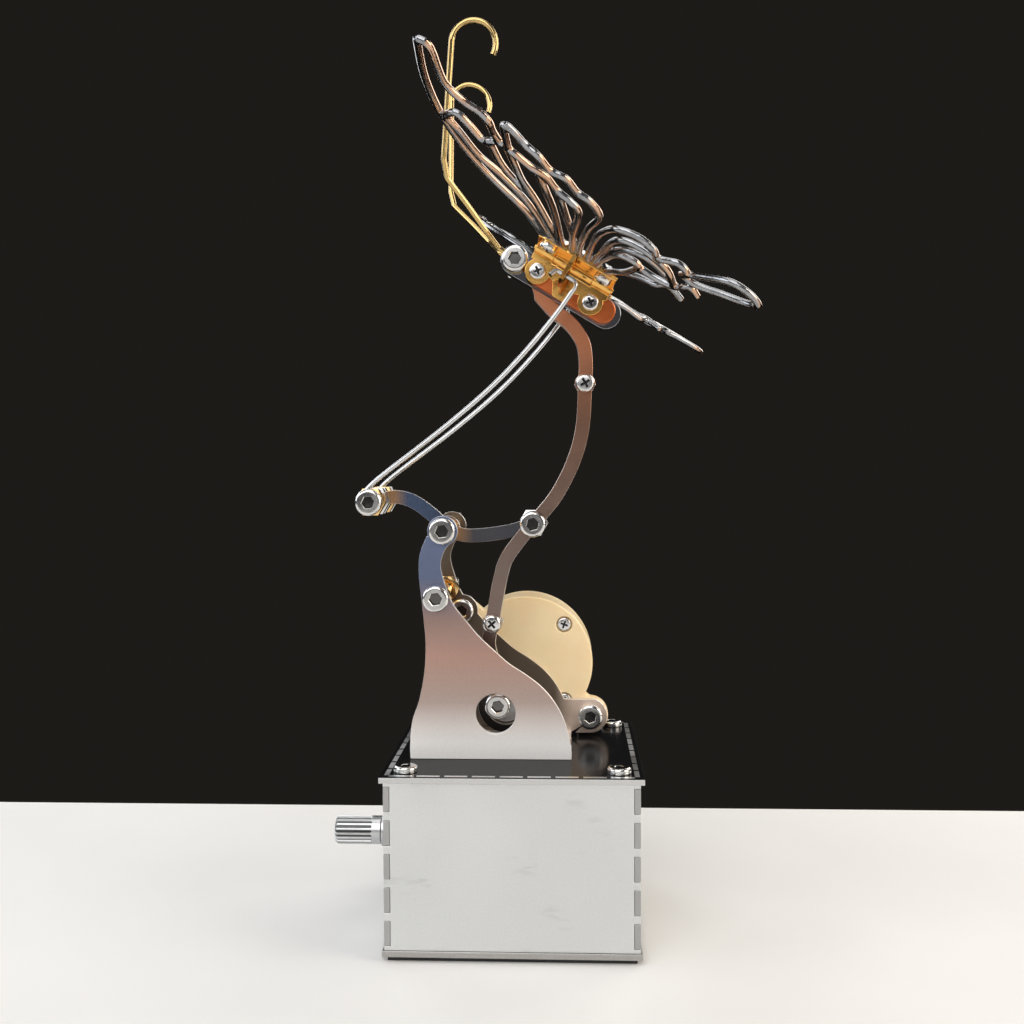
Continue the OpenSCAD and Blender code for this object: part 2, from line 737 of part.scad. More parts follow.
module coupler_front() {
  color("#b08468") difference() {
    union() {
      bar_body(bar_low, -bar_y - bar_t);
      rod_y(ring_p, -bar_y - bar_t, -bar_y, strap_r);
    }
    rod_y(ring_p, -9, 9, ring_bore);
    body_bores();
  }
}
module coupler_rear() {
  color("#b08468") difference() {
    bar_body([for (i = [3:len(bar_low) - 1]) bar_low[i]], bar_y);
    body_bores();
  }
}
bar_face = bar_y + bar_t;
module coupler_screws() {
  color("#d9dbde") for (p = [screw_lo, screw_hi])
    facing(p, -bar_face) cross_screw(1.95, 1.4, 1, 2 * bar_face + 2.2);
}
module coupler_screw_nuts() {
  color("#d9dbde") for (p = [screw_lo, screw_hi]) hex_nut(p, bar_face, 1.6, 4, 1 + gap);
}
module coupler_spacers() {
  color("#d9dbde") for (p = [screw_lo, screw_hi]) tube_y(p, -bar_y, bar_y, 1.9, 1 + gap);
}
module joint_bolt() {
  color("#e4e6e8") facing(joint_j, -bar_face) button(m3_head, m3_tall, m3, 2 * bar_face + nut_h + 0.6, 1.15);
}
module joint_washers() {
  w = bar_y - rock_t / 2 - run;
  color("#e4e6e8") {
    tube_y(joint_j, -bar_y, -bar_y + w, 2.5, m3 + gap);
    tube_y(joint_j, bar_y - w, bar_y, 2.5, m3 + gap);
  }
}
module body_nuts() {
  color("#d9dbde") {
    hex_nut(joint_j, bar_face, nut_h, nut_af, m3 + gap);
    in_body() hex_nut([head_u, axis_w], bar_face + 1.4, nut_h, nut_af, m3 + gap, 30);
  }
}
module body_core() {
  color("#8f9499") difference() {
    capsule(head_u, tail_u, 3.1, -bar_y, mid_t);
    body_bores();
  }
}
// copper-coloured bars that carry the hinges
module thorax_bars() {
  y0 = thorax_y;
  t = leaf_y - leaf_t - thorax_y;
  u0 = -5.5;
  u1 = 9.4;
  color("#b4522c") both_sides() difference() {
    capsule(u0, u1, 2.6, -y0 - t, t);
    body_bores();
  }
}
module head_bolt() {
  color("#d9dbde") in_body() facing([head_u, axis_w], -bar_face - 1.4)
    button(m3_head, m3_tall, m3, 2 * (bar_face + 1.4) + nut_h + 0.6, 1.15);
}
// two bent wires, each clamped by its eye under the head bolt
eye_r = m3 + gap + antenna_d / 2 + 0.05;
head_p = [body_o[0] + head_u * cos(body_tilt) + axis_w * sin(body_tilt),
  body_o[1] - head_u * sin(body_tilt) + axis_w * cos(body_tilt)];
hook_c = up([-6.9, 141.7]);
hook_r = 4.3;
stalk_z = z_deck + 108.3;
// the far wire is bent a little further forward than the near one
far_lean = 0.11;
module antenna(lean) {
  y0 = bar_face + 0.7;
  route = concat([[head_p[0] - eye_r * 0.8, -y0, head_p[1] + eye_r * 0.6],
    [head_p[0] - 3.45, -y0 - 0.2, head_p[1] + 2.4], [-5.6, -6.7, stalk_z],
    [-9, -9.7, stalk_z + 4.5], [-12.8, -13, stalk_z + 9.2], [-13.3, -14.4, stalk_z + 12.7]],
    [for (a = [170:-20:-30])
      [hook_c[0] + hook_r * cos(a), -19.3 - 0.4 * sin(a), hook_c[1] + hook_r * sin(a)]]);
  leant = [for (p = route) p - [lean * max(p[2] - stalk_z, 0), 0, 0]];
  translate([head_p[0], -y0, head_p[1]]) rotate([90, 0, 0]) rotate_extrude()
    translate([eye_r, 0]) circle(antenna_d / 2, $fn = 20);
  tube(smooth(leant, 2), antenna_d / 2, [0, 1, 0], 10);
}
module antennae() {
  color("#c9a24a") antenna(0);
  color("#c9a24a") mirror([0, 1, 0]) antenna(far_lean);
}

// butt hinges: outer knuckles on the fixed leaf, middle knuckle on the wing leaf
kn_mid = hinge_l / 4;
kn_gap = 0.12;
pin_r = 0.5;
module knuckle(x0, x1) {
  translate([x0, 0, 0]) rotate([0, 90, 0]) cylinder(h = x1 - x0, r = barrel_r);
}
module fixed_leaf() {
  color("#cfa649") difference() {
    in_body() union() {
      sheet(-leaf_y, leaf_t) polygon([[-hinge_l / 2, 0], [-hinge_l / 2, -2.2], [-2.6, -4.2], [-1.2, -6.8],
        [1.2, -6.8], [2.6, -4.2], [hinge_l / 2, -2.2], [hinge_l / 2, 0], [kn_mid + kn_gap, 0],
        [kn_mid + kn_gap, -barrel_r - 0.4], [-kn_mid - kn_gap, -barrel_r - 0.4], [-kn_mid - kn_gap, 0]]);
      for (s = [-1, 1]) rod_y([s * hole_u, axis_w], -leaf_y, -leaf_y + leaf_t, 2.65);
      for (s = [-1, 1]) translate([0, -barrel_y, 0]) {
        knuckle(s > 0 ? kn_mid + kn_gap : -hinge_l / 2, s > 0 ? hinge_l / 2 : -kn_mid - kn_gap);
        translate([s > 0 ? kn_mid + kn_gap : -hinge_l / 2, 0, -barrel_r])
          cube([hinge_l / 2 - kn_mid - kn_gap, barrel_r + 0.2, barrel_r]);
      }
    }
    in_body() translate([-20, -barrel_y, 0]) rotate([0, 90, 0]) cylinder(h = 40, r = pin_r + gap);
    body_bores();
  }
}
module fixed_leaves() {
  both_sides() fixed_leaf();
}
module leaf_screws() {
  color("#d9dbde") both_sides() for (s = [-1, 1]) in_body() facing([s * hole_u, axis_w], -leaf_y)
    cross_screw(1.75, 1, 1, leaf_y - 0.2);
}
module hinge_pins() {
  color("#c9a24a") both_sides() in_body() translate([-hinge_l / 2 - 0.3, -barrel_y, 0]) rotate([0, 90, 0])
    cylinder(h = hinge_l + 0.6, r = pin_r);
}
// the wing leaf lies under the wing's root, level with the top of its knuckle, notched for the horn
leaf_n = barrel_r - leaf_t;
leaf_top = leaf_n + leaf_t;
leaf_out = 6.6;
screw_s = 4.2;
horn_t = 0.9;
module wing_leaf() {
  notch = horn_t + 2 * gap;
  color("#cfa649") difference() {
    near_plane() union() {
      translate([-hinge_l / 2, -leaf_out, leaf_n]) cube([hinge_l, leaf_out - barrel_r - 0.4, leaf_t]);
      translate([-kn_mid, -barrel_r - 0.5, leaf_n]) cube([2 * kn_mid, barrel_r + 0.5, leaf_t]);
      knuckle(-kn_mid, kn_mid);
    }
    near_plane() translate([horn_u - notch / 2, -leaf_out - 1, leaf_n - 1])
      cube([notch, leaf_out + 1 - horn_s + 2.4 + gap, leaf_t + 2]);
    near_plane() translate([-20, 0, 0]) rotate([0, 90, 0]) cylinder(h = 40, r = pin_r + run);
    near_plane() for (s = [-1, 1]) translate([s * hole_u, -screw_s, -5]) cylinder(h = 10, r = 1.05);
  }
}
module near_wing_leaf() {
  wing_leaf();
}
module far_wing_leaf() {
  mirror([0, 1, 0]) wing_leaf();
}
// wing lattice, centre lines of its strands: [along the body, outward from the hinge]
rim = [[-8.2, 4.5], [-9, 12], [-12.9, 18.4], [-22, 26.1], [-29.1, 36.8], [-33, 49], [-34.3, 60.8],
  [-33.1, 62.4], [-31.7, 60.8], [-29.4, 53.3], [-26.3, 50], [-22.9, 49.1], [-20.9, 48], [-20, 44.2],
  [-18.7, 43], [-17.9, 48.1], [-18.1, 50.2], [-16.3, 48.8], [-13.9, 46.5], [-11.2, 46.2],
  [-8.7, 43.5], [-5.7, 43.1], [-3.2, 40], [-0.7, 39.2], [1.4, 35.4], [0.5, 27], [-0.3, 16],
  [1.1, 9.5], [2.7, 16], [2.5, 24], [3.5, 30], [5.6, 35.5], [9.7, 36.5], [12.9, 36], [14.4, 33.8],
  [17.7, 35], [20.6, 34.3], [23.2, 36.2], [27.4, 40.8], [31.4, 40.6], [33.4, 38.2], [31.6, 35.4],
  [27.2, 32.9], [22.8, 31], [21.9, 28], [24, 24.9], [20.4, 24.2], [21.6, 19.5], [18.2, 20.8],
  [16.3, 19.4], [12.6, 16.9], [9.3, 12], [8.2, 4.5]];
fore_cells = [
  [[-29.7, 41.6], [-33, 49], [-34, 58.2], [-31.4, 58.6], [-29.4, 53.3], [-26.3, 50], [-22.9, 49.1],
    [-20.9, 48], [-20.1, 44.2], [-20.6, 41], [-22, 39.7], [-24.8, 42], [-27.5, 43.2]],
  [[-29.3, 38.4], [-22, 26.1], [-13.2, 18.6], [-11.2, 20.8], [-18.5, 28.2], [-22.7, 31.7],
    [-26.8, 37.5]],
  [[-28.4, 40.4], [-27.5, 43], [-24.8, 42], [-22, 39.5], [-20.8, 40.3], [-18, 34.2], [-15.2, 30.5],
    [-11, 26.5], [-9.4, 22.6], [-12.3, 22.4], [-18.5, 28.2], [-22.7, 31.7], [-26.8, 37.5]],
  [[-20.2, 41], [-17.4, 41.2], [-16.1, 37.7], [-13.7, 31.5], [-12.2, 28], [-15.2, 30.5],
    [-18, 34.2]],
  [[-16.8, 41], [-15.7, 41.7], [-12.4, 39.9], [-10.6, 38.4], [-8.7, 33.6], [-6.9, 26], [-6.4, 19.5],
    [-10.4, 26], [-13.7, 31.5], [-16.1, 37.7]],
  [[-10.2, 38.2], [-7, 35.6], [-6.2, 34.6], [-4.7, 29], [-3.9, 21], [-5.2, 17.5], [-6.9, 26],
    [-8.7, 33.6]],
  [[-6, 35], [-4.1, 34.8], [-2, 31.9], [-2.1, 24], [-4, 24.4], [-4.7, 29]],
  [[-16.8, 42.2], [-17.7, 48.1], [-17.6, 49.4], [-16.3, 48.8], [-13.9, 46.5], [-11.2, 46.2],
    [-8.7, 43.5], [-5.7, 43.1], [-3.2, 40], [-0.7, 39.2], [1.2, 35.3], [0.3, 25], [-2.2, 25],
    [-2, 31.9], [-4.1, 34.8], [-7, 35.6], [-9.5, 38.7], [-12.4, 39.9], [-15.7, 41.7]],
  [[-8.4, 10], [-11, 18], [-9, 20.6], [-6.4, 16.5], [-6, 10]],
  [[-5, 10], [-5.4, 15.5], [-3.6, 20], [-2.2, 19.6], [-1.6, 10]]];
hind_cells = [
  [[2.5, 19], [2.5, 24], [3.5, 30], [5.6, 35.5], [9.7, 36.5], [12.9, 36], [14.4, 33.6], [14, 32.3],
    [10.5, 32.3], [6.4, 30], [4.9, 20]],
  [[5.4, 24], [6.4, 30], [10.5, 32.3], [14.6, 32.3], [17.2, 30.2], [18.6, 26.6], [15.8, 28],
    [11.9, 29.4], [7.8, 25.6]],
  [[5.4, 17], [7.4, 23.6], [11.7, 24.7], [10.2, 17.5], [7.4, 12.8]],
  [[8, 24.8], [11.9, 29.4], [16, 27.6], [18.4, 26.2], [18.8, 24.6], [15, 23], [11.9, 24.9]],
  [[10.5, 16.9], [11.9, 23.8], [15, 23], [18.8, 24], [18, 22], [14.5, 19.4]],
  [[20.6, 32.8], [23.2, 36.2], [27.4, 40.8], [31.2, 40.4], [33, 38.2], [31.4, 35.6], [27.2, 32.9],
    [22.6, 31.2]],
  [[14.8, 33.2], [17.7, 35], [20, 34], [20.6, 31.5], [20.4, 28], [19, 26.6], [17.2, 30.4]],
  [[3.4, 10], [3.4, 15.2], [5, 16], [7, 12], [6.2, 10]]];
function out(p) = [for (q = p) [q[0], -q[1]]];
function area(p) = let (n = len(p))
  [for (i = [0:n - 1]) p[i][0] * p[(i + 1) % n][1] - p[i][1] * p[(i + 1) % n][0]]
  * [for (i = [0:n - 1]) 0.5];
function left_of(a, b) = [a[1] - b[1], b[0] - a[0]] / norm(b - a);
// outline moved inwards by d on every side
function inset(p, d) = let (n = len(p), g = area(p) > 0 ? d : -d) [for (i = [0:n - 1])
  let (u = left_of(p[(i + n - 1) % n], p[i]), v = left_of(p[i], p[(i + 1) % n]))
    p[i] + g * (u + v) / max(1 + u * v, 0.55)];
root_u = hinge_l / 2 - 0.4;
root_t = 1.2;
// the strands start past the leaf, below the root that carries them on a step
vein_n = leaf_n - wing_t;
step_n = vein_n + 0.9;
module wing() {
  color("#3c4046") difference() {
    near_plane() union() {
      difference() {
        translate([0, 0, vein_n]) linear_extrude(wing_t) difference() {
          polygon(inset(out(rim), -vein_w / 2));
          for (c = concat(fore_cells, hind_cells)) polygon(inset(out(c), vein_w / 2));
        }
        translate([-hinge_l, -leaf_out - gap, vein_n - 1]) cube([2 * hinge_l, leaf_out, wing_t + 2]);
      }
      translate([-root_u, -leaf_out - 2.4, leaf_top]) cube([2 * root_u, leaf_out + 0.4, root_t]);
      translate([-root_u, -leaf_out - 2.4, step_n]) cube([2 * root_u, 2.4 - gap, leaf_top - step_n + 0.1]);
      translate([horn_u - horn_t / 2, -horn_s - 3.4, -horn_d - 2.1])
        cube([horn_t, 5.8, horn_d + 2.1 + leaf_top + root_t / 2]);
    }
    near_plane() translate([horn_u - 2, -horn_s - 2.5, -horn_d - 1.2]) cube([4, 3.9, 2.4]);
    near_plane() for (s = [-1, 1]) translate([s * hole_u, -screw_s, -5]) cylinder(h = 10, r = 1.05);
  }
}
module near_wing() {
  wing();
}
module far_wing() {
  mirror([0, 1, 0]) wing();
}
module wing_screw_pair() {
  color("#d9dbde") near_plane() for (s = [-1, 1]) translate([s * hole_u, -screw_s, leaf_n])
    rotate([180, 0, 0]) cross_screw(1.8, 1.1, 1, leaf_t + root_t);
}
module near_wing_screws() {
  wing_screw_pair();
}
module far_wing_screws() {
  mirror([0, 1, 0]) wing_screw_pair();
}

// push rod: eye on the pin, bowed wire, stub through the slotted horn of the wing
horn_y = barrel_y + horn_s * cos(dihedral) + horn_d * sin(dihedral);
horn_w = horn_s * sin(dihedral) - horn_d * cos(dihedral);
function body_pt(u, y, w) = [body_o[0] + u * cos(body_tilt) + w * sin(body_tilt), y,
  body_o[1] - u * sin(body_tilt) + w * cos(body_tilt)];
rod_eye = m3 + run + rod_d / 2;
// the wire leaves its eye at this angle, behind the bolt's head
rod_leave = 130;
module pushrod() {
  translate([pin_l[0], -rod_plane, pin_l[1]]) rotate([90, 0, 0]) rotate_extrude()
    translate([rod_eye, 0]) circle(rod_d / 2, $fn = 20);
  wire([[pin_l[0] + rod_eye * cos(rod_leave), -rod_plane, pin_l[1] + rod_eye * sin(rod_leave)],
    [pin_l[0] + 2, -rod_plane, pin_l[1] + 4.9], [-14.9, -rod_plane - 0.7, z_deck + 67.3],
    [-5, -rod_plane - 1.2, z_deck + 75.5],
    [2.2, -rod_plane - 1.6, z_deck + 82.7], [8.5, -rod_plane - 2.1, z_deck + 90.1],
    body_pt(2.5, -horn_y, horn_w - 1), body_pt(1.9, -horn_y, horn_w), body_pt(-2.6, -horn_y, horn_w),
    body_pt(-3, -horn_y - 0.4, horn_w - 1.6)], rod_d / 2);
}
module near_pushrod() {
  color("#c6c8cb") pushrod();
}
module far_pushrod() {
  color("#c6c8cb") mirror([0, 1, 0]) pushrod();
}
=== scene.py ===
import json
import math
from functools import partial

import bmesh
import bpy
from mathutils import Matrix, Vector

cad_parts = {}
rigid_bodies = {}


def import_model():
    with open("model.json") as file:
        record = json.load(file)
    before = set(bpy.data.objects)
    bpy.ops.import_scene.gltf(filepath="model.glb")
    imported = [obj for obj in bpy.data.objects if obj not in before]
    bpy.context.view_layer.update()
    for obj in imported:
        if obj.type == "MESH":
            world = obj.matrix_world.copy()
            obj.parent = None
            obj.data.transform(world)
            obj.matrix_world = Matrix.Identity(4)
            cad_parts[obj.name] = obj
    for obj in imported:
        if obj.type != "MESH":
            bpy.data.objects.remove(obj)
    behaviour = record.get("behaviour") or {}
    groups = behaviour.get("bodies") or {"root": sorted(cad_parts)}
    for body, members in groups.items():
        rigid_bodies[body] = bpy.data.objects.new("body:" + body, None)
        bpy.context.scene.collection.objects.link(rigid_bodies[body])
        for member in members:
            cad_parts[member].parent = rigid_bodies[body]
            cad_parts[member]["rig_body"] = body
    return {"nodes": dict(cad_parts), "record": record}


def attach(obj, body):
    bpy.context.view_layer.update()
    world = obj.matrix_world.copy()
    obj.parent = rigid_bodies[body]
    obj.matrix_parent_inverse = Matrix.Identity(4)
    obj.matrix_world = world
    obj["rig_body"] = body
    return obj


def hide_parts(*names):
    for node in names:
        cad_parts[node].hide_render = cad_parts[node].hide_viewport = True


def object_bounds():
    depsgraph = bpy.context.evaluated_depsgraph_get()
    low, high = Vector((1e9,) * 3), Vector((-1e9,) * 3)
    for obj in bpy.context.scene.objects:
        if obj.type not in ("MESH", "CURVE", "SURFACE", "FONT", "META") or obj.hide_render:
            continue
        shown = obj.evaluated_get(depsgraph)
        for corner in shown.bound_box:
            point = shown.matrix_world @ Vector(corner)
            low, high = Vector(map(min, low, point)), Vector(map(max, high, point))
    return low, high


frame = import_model()
cad_low, cad_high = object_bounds()
scene = bpy.context.scene
scene.view_settings.view_transform = "Standard"
mm = 0.001


# Camera: level with the upper frame, a little to the right of the box, looking slightly down.
# Its place and its axes are the ones at which the box's corners fall where they lie in the picture.
camera_place = Vector((11.04, -252.74, 97.80)) * mm
camera_right = Vector((0.99892, 0.04645, -0.00453))
camera_up = Vector((0.00250, 0.04359, 0.99905))
camera_lens, sensor_width, clip_start = 41.94, 36.0, 0.01


def shown(name, data):
    """A new object in the scene."""
    thing = bpy.data.objects.new(name, data)
    scene.collection.objects.link(thing)
    return thing


camera_data = bpy.data.cameras.new("camera")
camera_data.lens, camera_data.sensor_width, camera_data.clip_start = camera_lens, sensor_width, clip_start
camera = shown("camera", camera_data)
camera_back = camera_right.cross(camera_up)
turn = Matrix((camera_right, camera_up, camera_back)).transposed().to_4x4()
camera.matrix_world = Matrix.Translation(camera_place) @ turn
scene.camera = camera


# Studio: a plain pale table top with its back edge close behind the object, in a dim room.
# Large soft lamps stand on all sides, and the room is lighter in front of the object than behind it.
table_left, table_right, table_front, table_back = -1.4, 1.4, -1.3, 0.080
table_colour = (0.78, 0.77, 0.755)
table_shade = (0.72, 0.71, 0.695)
room_front = (0.115, 0.110, 0.112)
room_back = (0.0125, 0.011, 0.0095)


def new_material(name):
    material = bpy.data.materials.new(name)
    material.use_nodes = True
    tree = material.node_tree
    shader = next(n for n in tree.nodes if n.type == "BSDF_PRINCIPLED")
    return material, tree, shader


def add(tree, kind, values=None, **settings):
    """A node with its settings, and with its inputs set to values or fed from sockets."""
    node = tree.nodes.new(kind)
    for name, value in settings.items():
        setattr(node, name, value)
    for key, value in (values or {}).items():
        if isinstance(value, bpy.types.NodeSocket):
            tree.links.new(value, node.inputs[key])
        else:
            node.inputs[key].default_value = value
    return node


def feed(tree, source, target):
    tree.links.new(source, target)


def first(tree, kind, values=None, **settings):
    """The first output of a new node."""
    return add(tree, kind, values, **settings).outputs[0]


def ranged(tree, value, low, high, to_low=0.0, to_high=1.0, smooth=False):
    """value between low and high, mapped to the new range and kept inside it."""
    values = {"Value": value, "From Min": low, "From Max": high, "To Min": to_low, "To Max": to_high}
    return first(tree, "ShaderNodeMapRange", values, interpolation_type="SMOOTHSTEP" if smooth else "LINEAR")


def noise(tree, place, scale, detail=2.0, roughness=0.5):
    values = {"Vector": place, "Scale": scale, "Detail": detail, "Roughness": roughness}
    return add(tree, "ShaderNodeTexNoise", values).outputs["Fac"]


def apart(tree, vector):
    """The X, Y and Z of a vector."""
    return add(tree, "ShaderNodeSeparateXYZ", {"Vector": vector}).outputs


def ramp(tree, factor, *stops):
    """A colour ramp with the given (position, colour) stops."""
    node = add(tree, "ShaderNodeValToRGB", {"Fac": factor})
    steps = node.color_ramp.elements
    while len(steps) < len(stops):
        steps.new(0.5)
    for step, (place, colour) in zip(steps, stops):
        step.position = place
        step.color = (*colour, 1.0)
    return node.outputs["Color"]


table_corners = [(table_left, table_front, 0), (table_right, table_front, 0), (table_right, table_back, 0),
                 (table_left, table_back, 0)]
table_mesh = bpy.data.meshes.new("table")
table_mesh.from_pydata(table_corners, [], [(0, 1, 2, 3)])
table = shown("table", table_mesh)
table_finish, tree, shader = new_material("table_top")
place = add(tree, "ShaderNodeTexCoord").outputs["Object"]
cloud = noise(tree, place, 9.0, 3.0)
feed(tree, ramp(tree, cloud, (0.3, table_shade), (0.7, table_colour)), shader.inputs["Base Color"])
shader.inputs["Roughness"].default_value = 0.6
table_mesh.materials.append(table_finish)

world = bpy.data.worlds.new("room")
scene.world = world
world.use_nodes = True
tree = world.node_tree
room = tree.nodes["Background"]
way = add(tree, "ShaderNodeTexCoord").outputs["Generated"]
depth = ranged(tree, apart(tree, way)["Y"], -0.5, 0.45, smooth=True)
feed(tree, ramp(tree, depth, (0.0, room_front), (1.0, room_back)), room.inputs["Color"])

aim = (cad_low + cad_high) / 2
lamps = {
    "lamp_front": ((-0.20, -0.62, 0.62), 0.80, 5.2, (1.0, 0.995, 0.985)),
    "lamp_right": ((0.74, -0.22, 0.34), 0.55, 4.4, (1.0, 0.91, 0.80)),
    "lamp_left": ((-0.72, -0.16, 0.40), 0.50, 2.1, (0.92, 0.96, 1.0)),
    "lamp_back_right": ((0.50, 0.66, 0.50), 0.60, 3.2, (1.0, 0.95, 0.88)),
    "lamp_back_left": ((-0.52, 0.64, 0.52), 0.60, 2.6, (0.95, 0.97, 1.0)),
    "lamp_top": ((0.02, 0.04, 0.92), 0.60, 1.8, (1.0, 0.99, 0.97)),
}
for name, (spot, width, power, tint) in lamps.items():
    lamp_data = bpy.data.lights.new(name, "AREA")
    lamp_data.shape = "SQUARE"
    lamp_data.size, lamp_data.energy, lamp_data.color = width, power, tint
    lamp = shown(name, lamp_data)
    lamp.location = spot
    lamp.rotation_mode = "QUATERNION"
    lamp.rotation_quaternion = (aim - Vector(spot)).to_track_quat("-Z", "Y")
    lamp.visible_camera = False


# Foot pad: a square of black rubber sheet under the box, with holes for the screws below.
# Its knife-cut sides show as a dark line between the table and the bottom plate.
pad_edge = 0.15
rubber_dark, rubber_light = (0.012, 0.012, 0.013), (0.030, 0.030, 0.032)


def shader_group(name, inputs, output):
    """An empty shader group with named inputs (label, kind) and one value output."""
    group = bpy.data.node_groups.new(name, "ShaderNodeTree")
    for label, kind in inputs:
        group.interface.new_socket(label, in_out="INPUT", socket_type="NodeSocket" + kind)
    group.interface.new_socket(output, in_out="OUTPUT", socket_type="NodeSocketFloat")
    return group, add(group, "NodeGroupInput").outputs, add(group, "NodeGroupOutput").inputs[output]


def drawn_out(group, entry):
    """A group's place, drawn out by its stretch."""
    return first(group, "ShaderNodeVectorMath", {0: entry["Place"], 1: entry["Stretch"]}, operation="MULTIPLY")


fine_grain, entry, leave = shader_group(
    "fine_grain", (("Place", "Vector"), ("Stretch", "Vector"), ("Scale", "Float")), "Grain")
feed(fine_grain, noise(fine_grain, drawn_out(fine_grain, entry), entry["Scale"], 4.0, 0.65), leave)

handling, entry, leave = shader_group("handling_marks", (("Place", "Vector"), ("Scale", "Float")), "Marks")
cloud = noise(handling, entry["Place"], entry["Scale"])
feed(handling, ranged(handling, cloud, 0.38, 0.66, smooth=True), leave)


def grouped(tree, group, place, **values):
    """The output of a shader group at place, with its other inputs set."""
    node = add(tree, "ShaderNodeGroup", node_tree=group)
    feed(tree, place, node.inputs["Place"])
    for name, value in values.items():
        node.inputs[name].default_value = value
    return node.outputs[0]


def finish(name, dark, light, rough, metallic=1.0, stretch=(1, 1, 1), scale=900.0, marks=70.0, relief=0.012):
    """A finish with fine grain in its colour and relief (mm), and handling marks in its gloss."""
    material, tree, shader = new_material(name)
    place = add(tree, "ShaderNodeTexCoord").outputs["Object"]
    grain = grouped(tree, fine_grain, place, Stretch=stretch, Scale=scale)
    smear = grouped(tree, handling, place, Scale=marks)
    colour = ramp(tree, grain, (0.25, dark), (0.75, light))
    feed(tree, colour, shader.inputs["Base Color"])
    feed(tree, ranged(tree, smear, 0.0, 1.0, *rough), shader.inputs["Roughness"])
    bump = first(tree, "ShaderNodeBump", {"Strength": 0.5, "Distance": relief * mm, "Height": grain})
    feed(tree, bump, shader.inputs["Normal"])
    shader.inputs["Metallic"].default_value = metallic
    return material, tree, shader, place, colour


def baked(carrier, name):
    """carrier's finished shape as a plain mesh object of its own."""
    bpy.context.view_layer.update()
    view = bpy.context.evaluated_depsgraph_get()
    mesh = bpy.data.meshes.new_from_object(carrier.evaluated_get(view), preserve_all_data_layers=True,
                                           depsgraph=view)
    bpy.data.objects.remove(carrier)
    return shown(name, mesh)


def carry(piece, body, slot_name, *nodes):
    """piece rides on body and stands for the nodes. slot_name is not used."""
    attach(piece, body)
    if nodes:
        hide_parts(*nodes)
    return piece


slot_of = {row["node"]: row["material_slot"] for row in frame["record"]["subparts"]}


def softened(node, material, edge, limit=35.0, steps=2):
    """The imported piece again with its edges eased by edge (mm), riding where the piece rides."""
    source = frame["nodes"][node]
    mesh = source.data.copy()
    mesh.materials.clear()
    mesh.materials.append(material)
    if "custom_normal" in mesh.attributes:
        mesh.attributes.remove(mesh.attributes["custom_normal"])
    work = bmesh.new()
    work.from_mesh(mesh)
    bmesh.ops.remove_doubles(work, verts=work.verts, dist=0.0005 * mm)
    bmesh.ops.dissolve_limit(work, angle_limit=math.radians(0.5), verts=work.verts, edges=work.edges)
    work.to_mesh(mesh)
    work.free()
    mesh.shade_smooth()
    mesh.set_sharp_from_angle(angle=math.radians(limit))
    carrier = shown(node + "_shape", mesh)
    bevel = carrier.modifiers.new("edges", "BEVEL")
    bevel.width = edge * mm
    bevel.segments = steps
    bevel.limit_method = "ANGLE"
    bevel.angle_limit = math.radians(limit)
    bevel.use_clamp_overlap = False
    bevel.harden_normals = True
    return carry(baked(carrier, node + "_piece"), source["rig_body"], slot_of[node], node)


rubber = finish("black_rubber", rubber_dark, rubber_light, (0.62, 0.82), metallic=0.0, scale=1600.0,
                relief=0.03)[0]
softened("base_pad", rubber, pad_edge)


# Bottom plate: sheet steel, cut square and a little wider than the walls that stand on it.
# Its faces are a plain grey, darker than the walls, and its edges are broken with a file.
sheet_edge = 0.12
sheet_look = {"rough": (0.30, 0.44), "scale": 2200.0, "marks": 45.0, "relief": 0.01}
floor_dark, floor_light = (0.38, 0.37, 0.36), (0.48, 0.465, 0.45)
floor_sheet = finish("floor_sheet", floor_dark, floor_light, **sheet_look)[0]
softened("bottom_plate", floor_sheet, sheet_edge)


# Walls: four panels of sheet aluminium with a satin face, joined at the corners by square fingers.
# The side panels' fingers show on the front as rows of darker cut ends, and handling has left faint scuffs.
sheet_dark, sheet_light, scuff_tone = (0.70, 0.715, 0.72), (0.76, 0.775, 0.78), (0.46, 0.47, 0.47)
cut_end, cut_start, cut_full = (0.44, 0.44, 0.44), 24.80, 24.88


def calc(tree, operation, *values):
    return first(tree, "ShaderNodeMath", dict(enumerate(values)), operation=operation)


def toned(tree, shader, share, colour, tone):
    """Turns a finish's colour to tone by share, and gives the new colour."""
    colour = add(tree, "ShaderNodeMix", {0: share, 6: colour, 7: (*tone, 1.0)}, data_type="RGBA").outputs[2]
    feed(tree, colour, shader.inputs["Base Color"])
    return colour


scuffs, entry, leave = shader_group("scuffs", (("Place", "Vector"), ("Stretch", "Vector")), "Scuff")
spots = ranged(scuffs, noise(scuffs, entry["Place"], 85.0, 1.0), 0.60, 0.72, smooth=True)
lines = ranged(scuffs, noise(scuffs, drawn_out(scuffs, entry), 1300.0), 0.48, 0.62, 0.0, 0.32)
feed(scuffs, calc(scuffs, "MULTIPLY", spots, lines), leave)


def wall_finish(name):
    """The panels' satin face with its scuffs, drawn out level."""
    material, tree, shader, place, colour = finish(name, sheet_dark, sheet_light, **sheet_look)
    scuff = grouped(tree, scuffs, place, Stretch=(0.2, 0.2, 1.0))
    return material, tree, shader, place, toned(tree, shader, scuff, colour, scuff_tone)


satin_sheet = wall_finish("satin_sheet")[0]
softened("front_panel", satin_sheet, sheet_edge)
softened("rear_panel", satin_sheet, sheet_edge)
cut_sheet, tree, shader, place, colour = wall_finish("cut_sheet")
reach = calc(tree, "ABSOLUTE", apart(tree, place)["Y"])
toned(tree, shader, ranged(tree, reach, cut_start * mm, cut_full * mm), colour, cut_end)
softened("left_panel", cut_sheet, sheet_edge)
softened("right_panel", cut_sheet, sheet_edge)


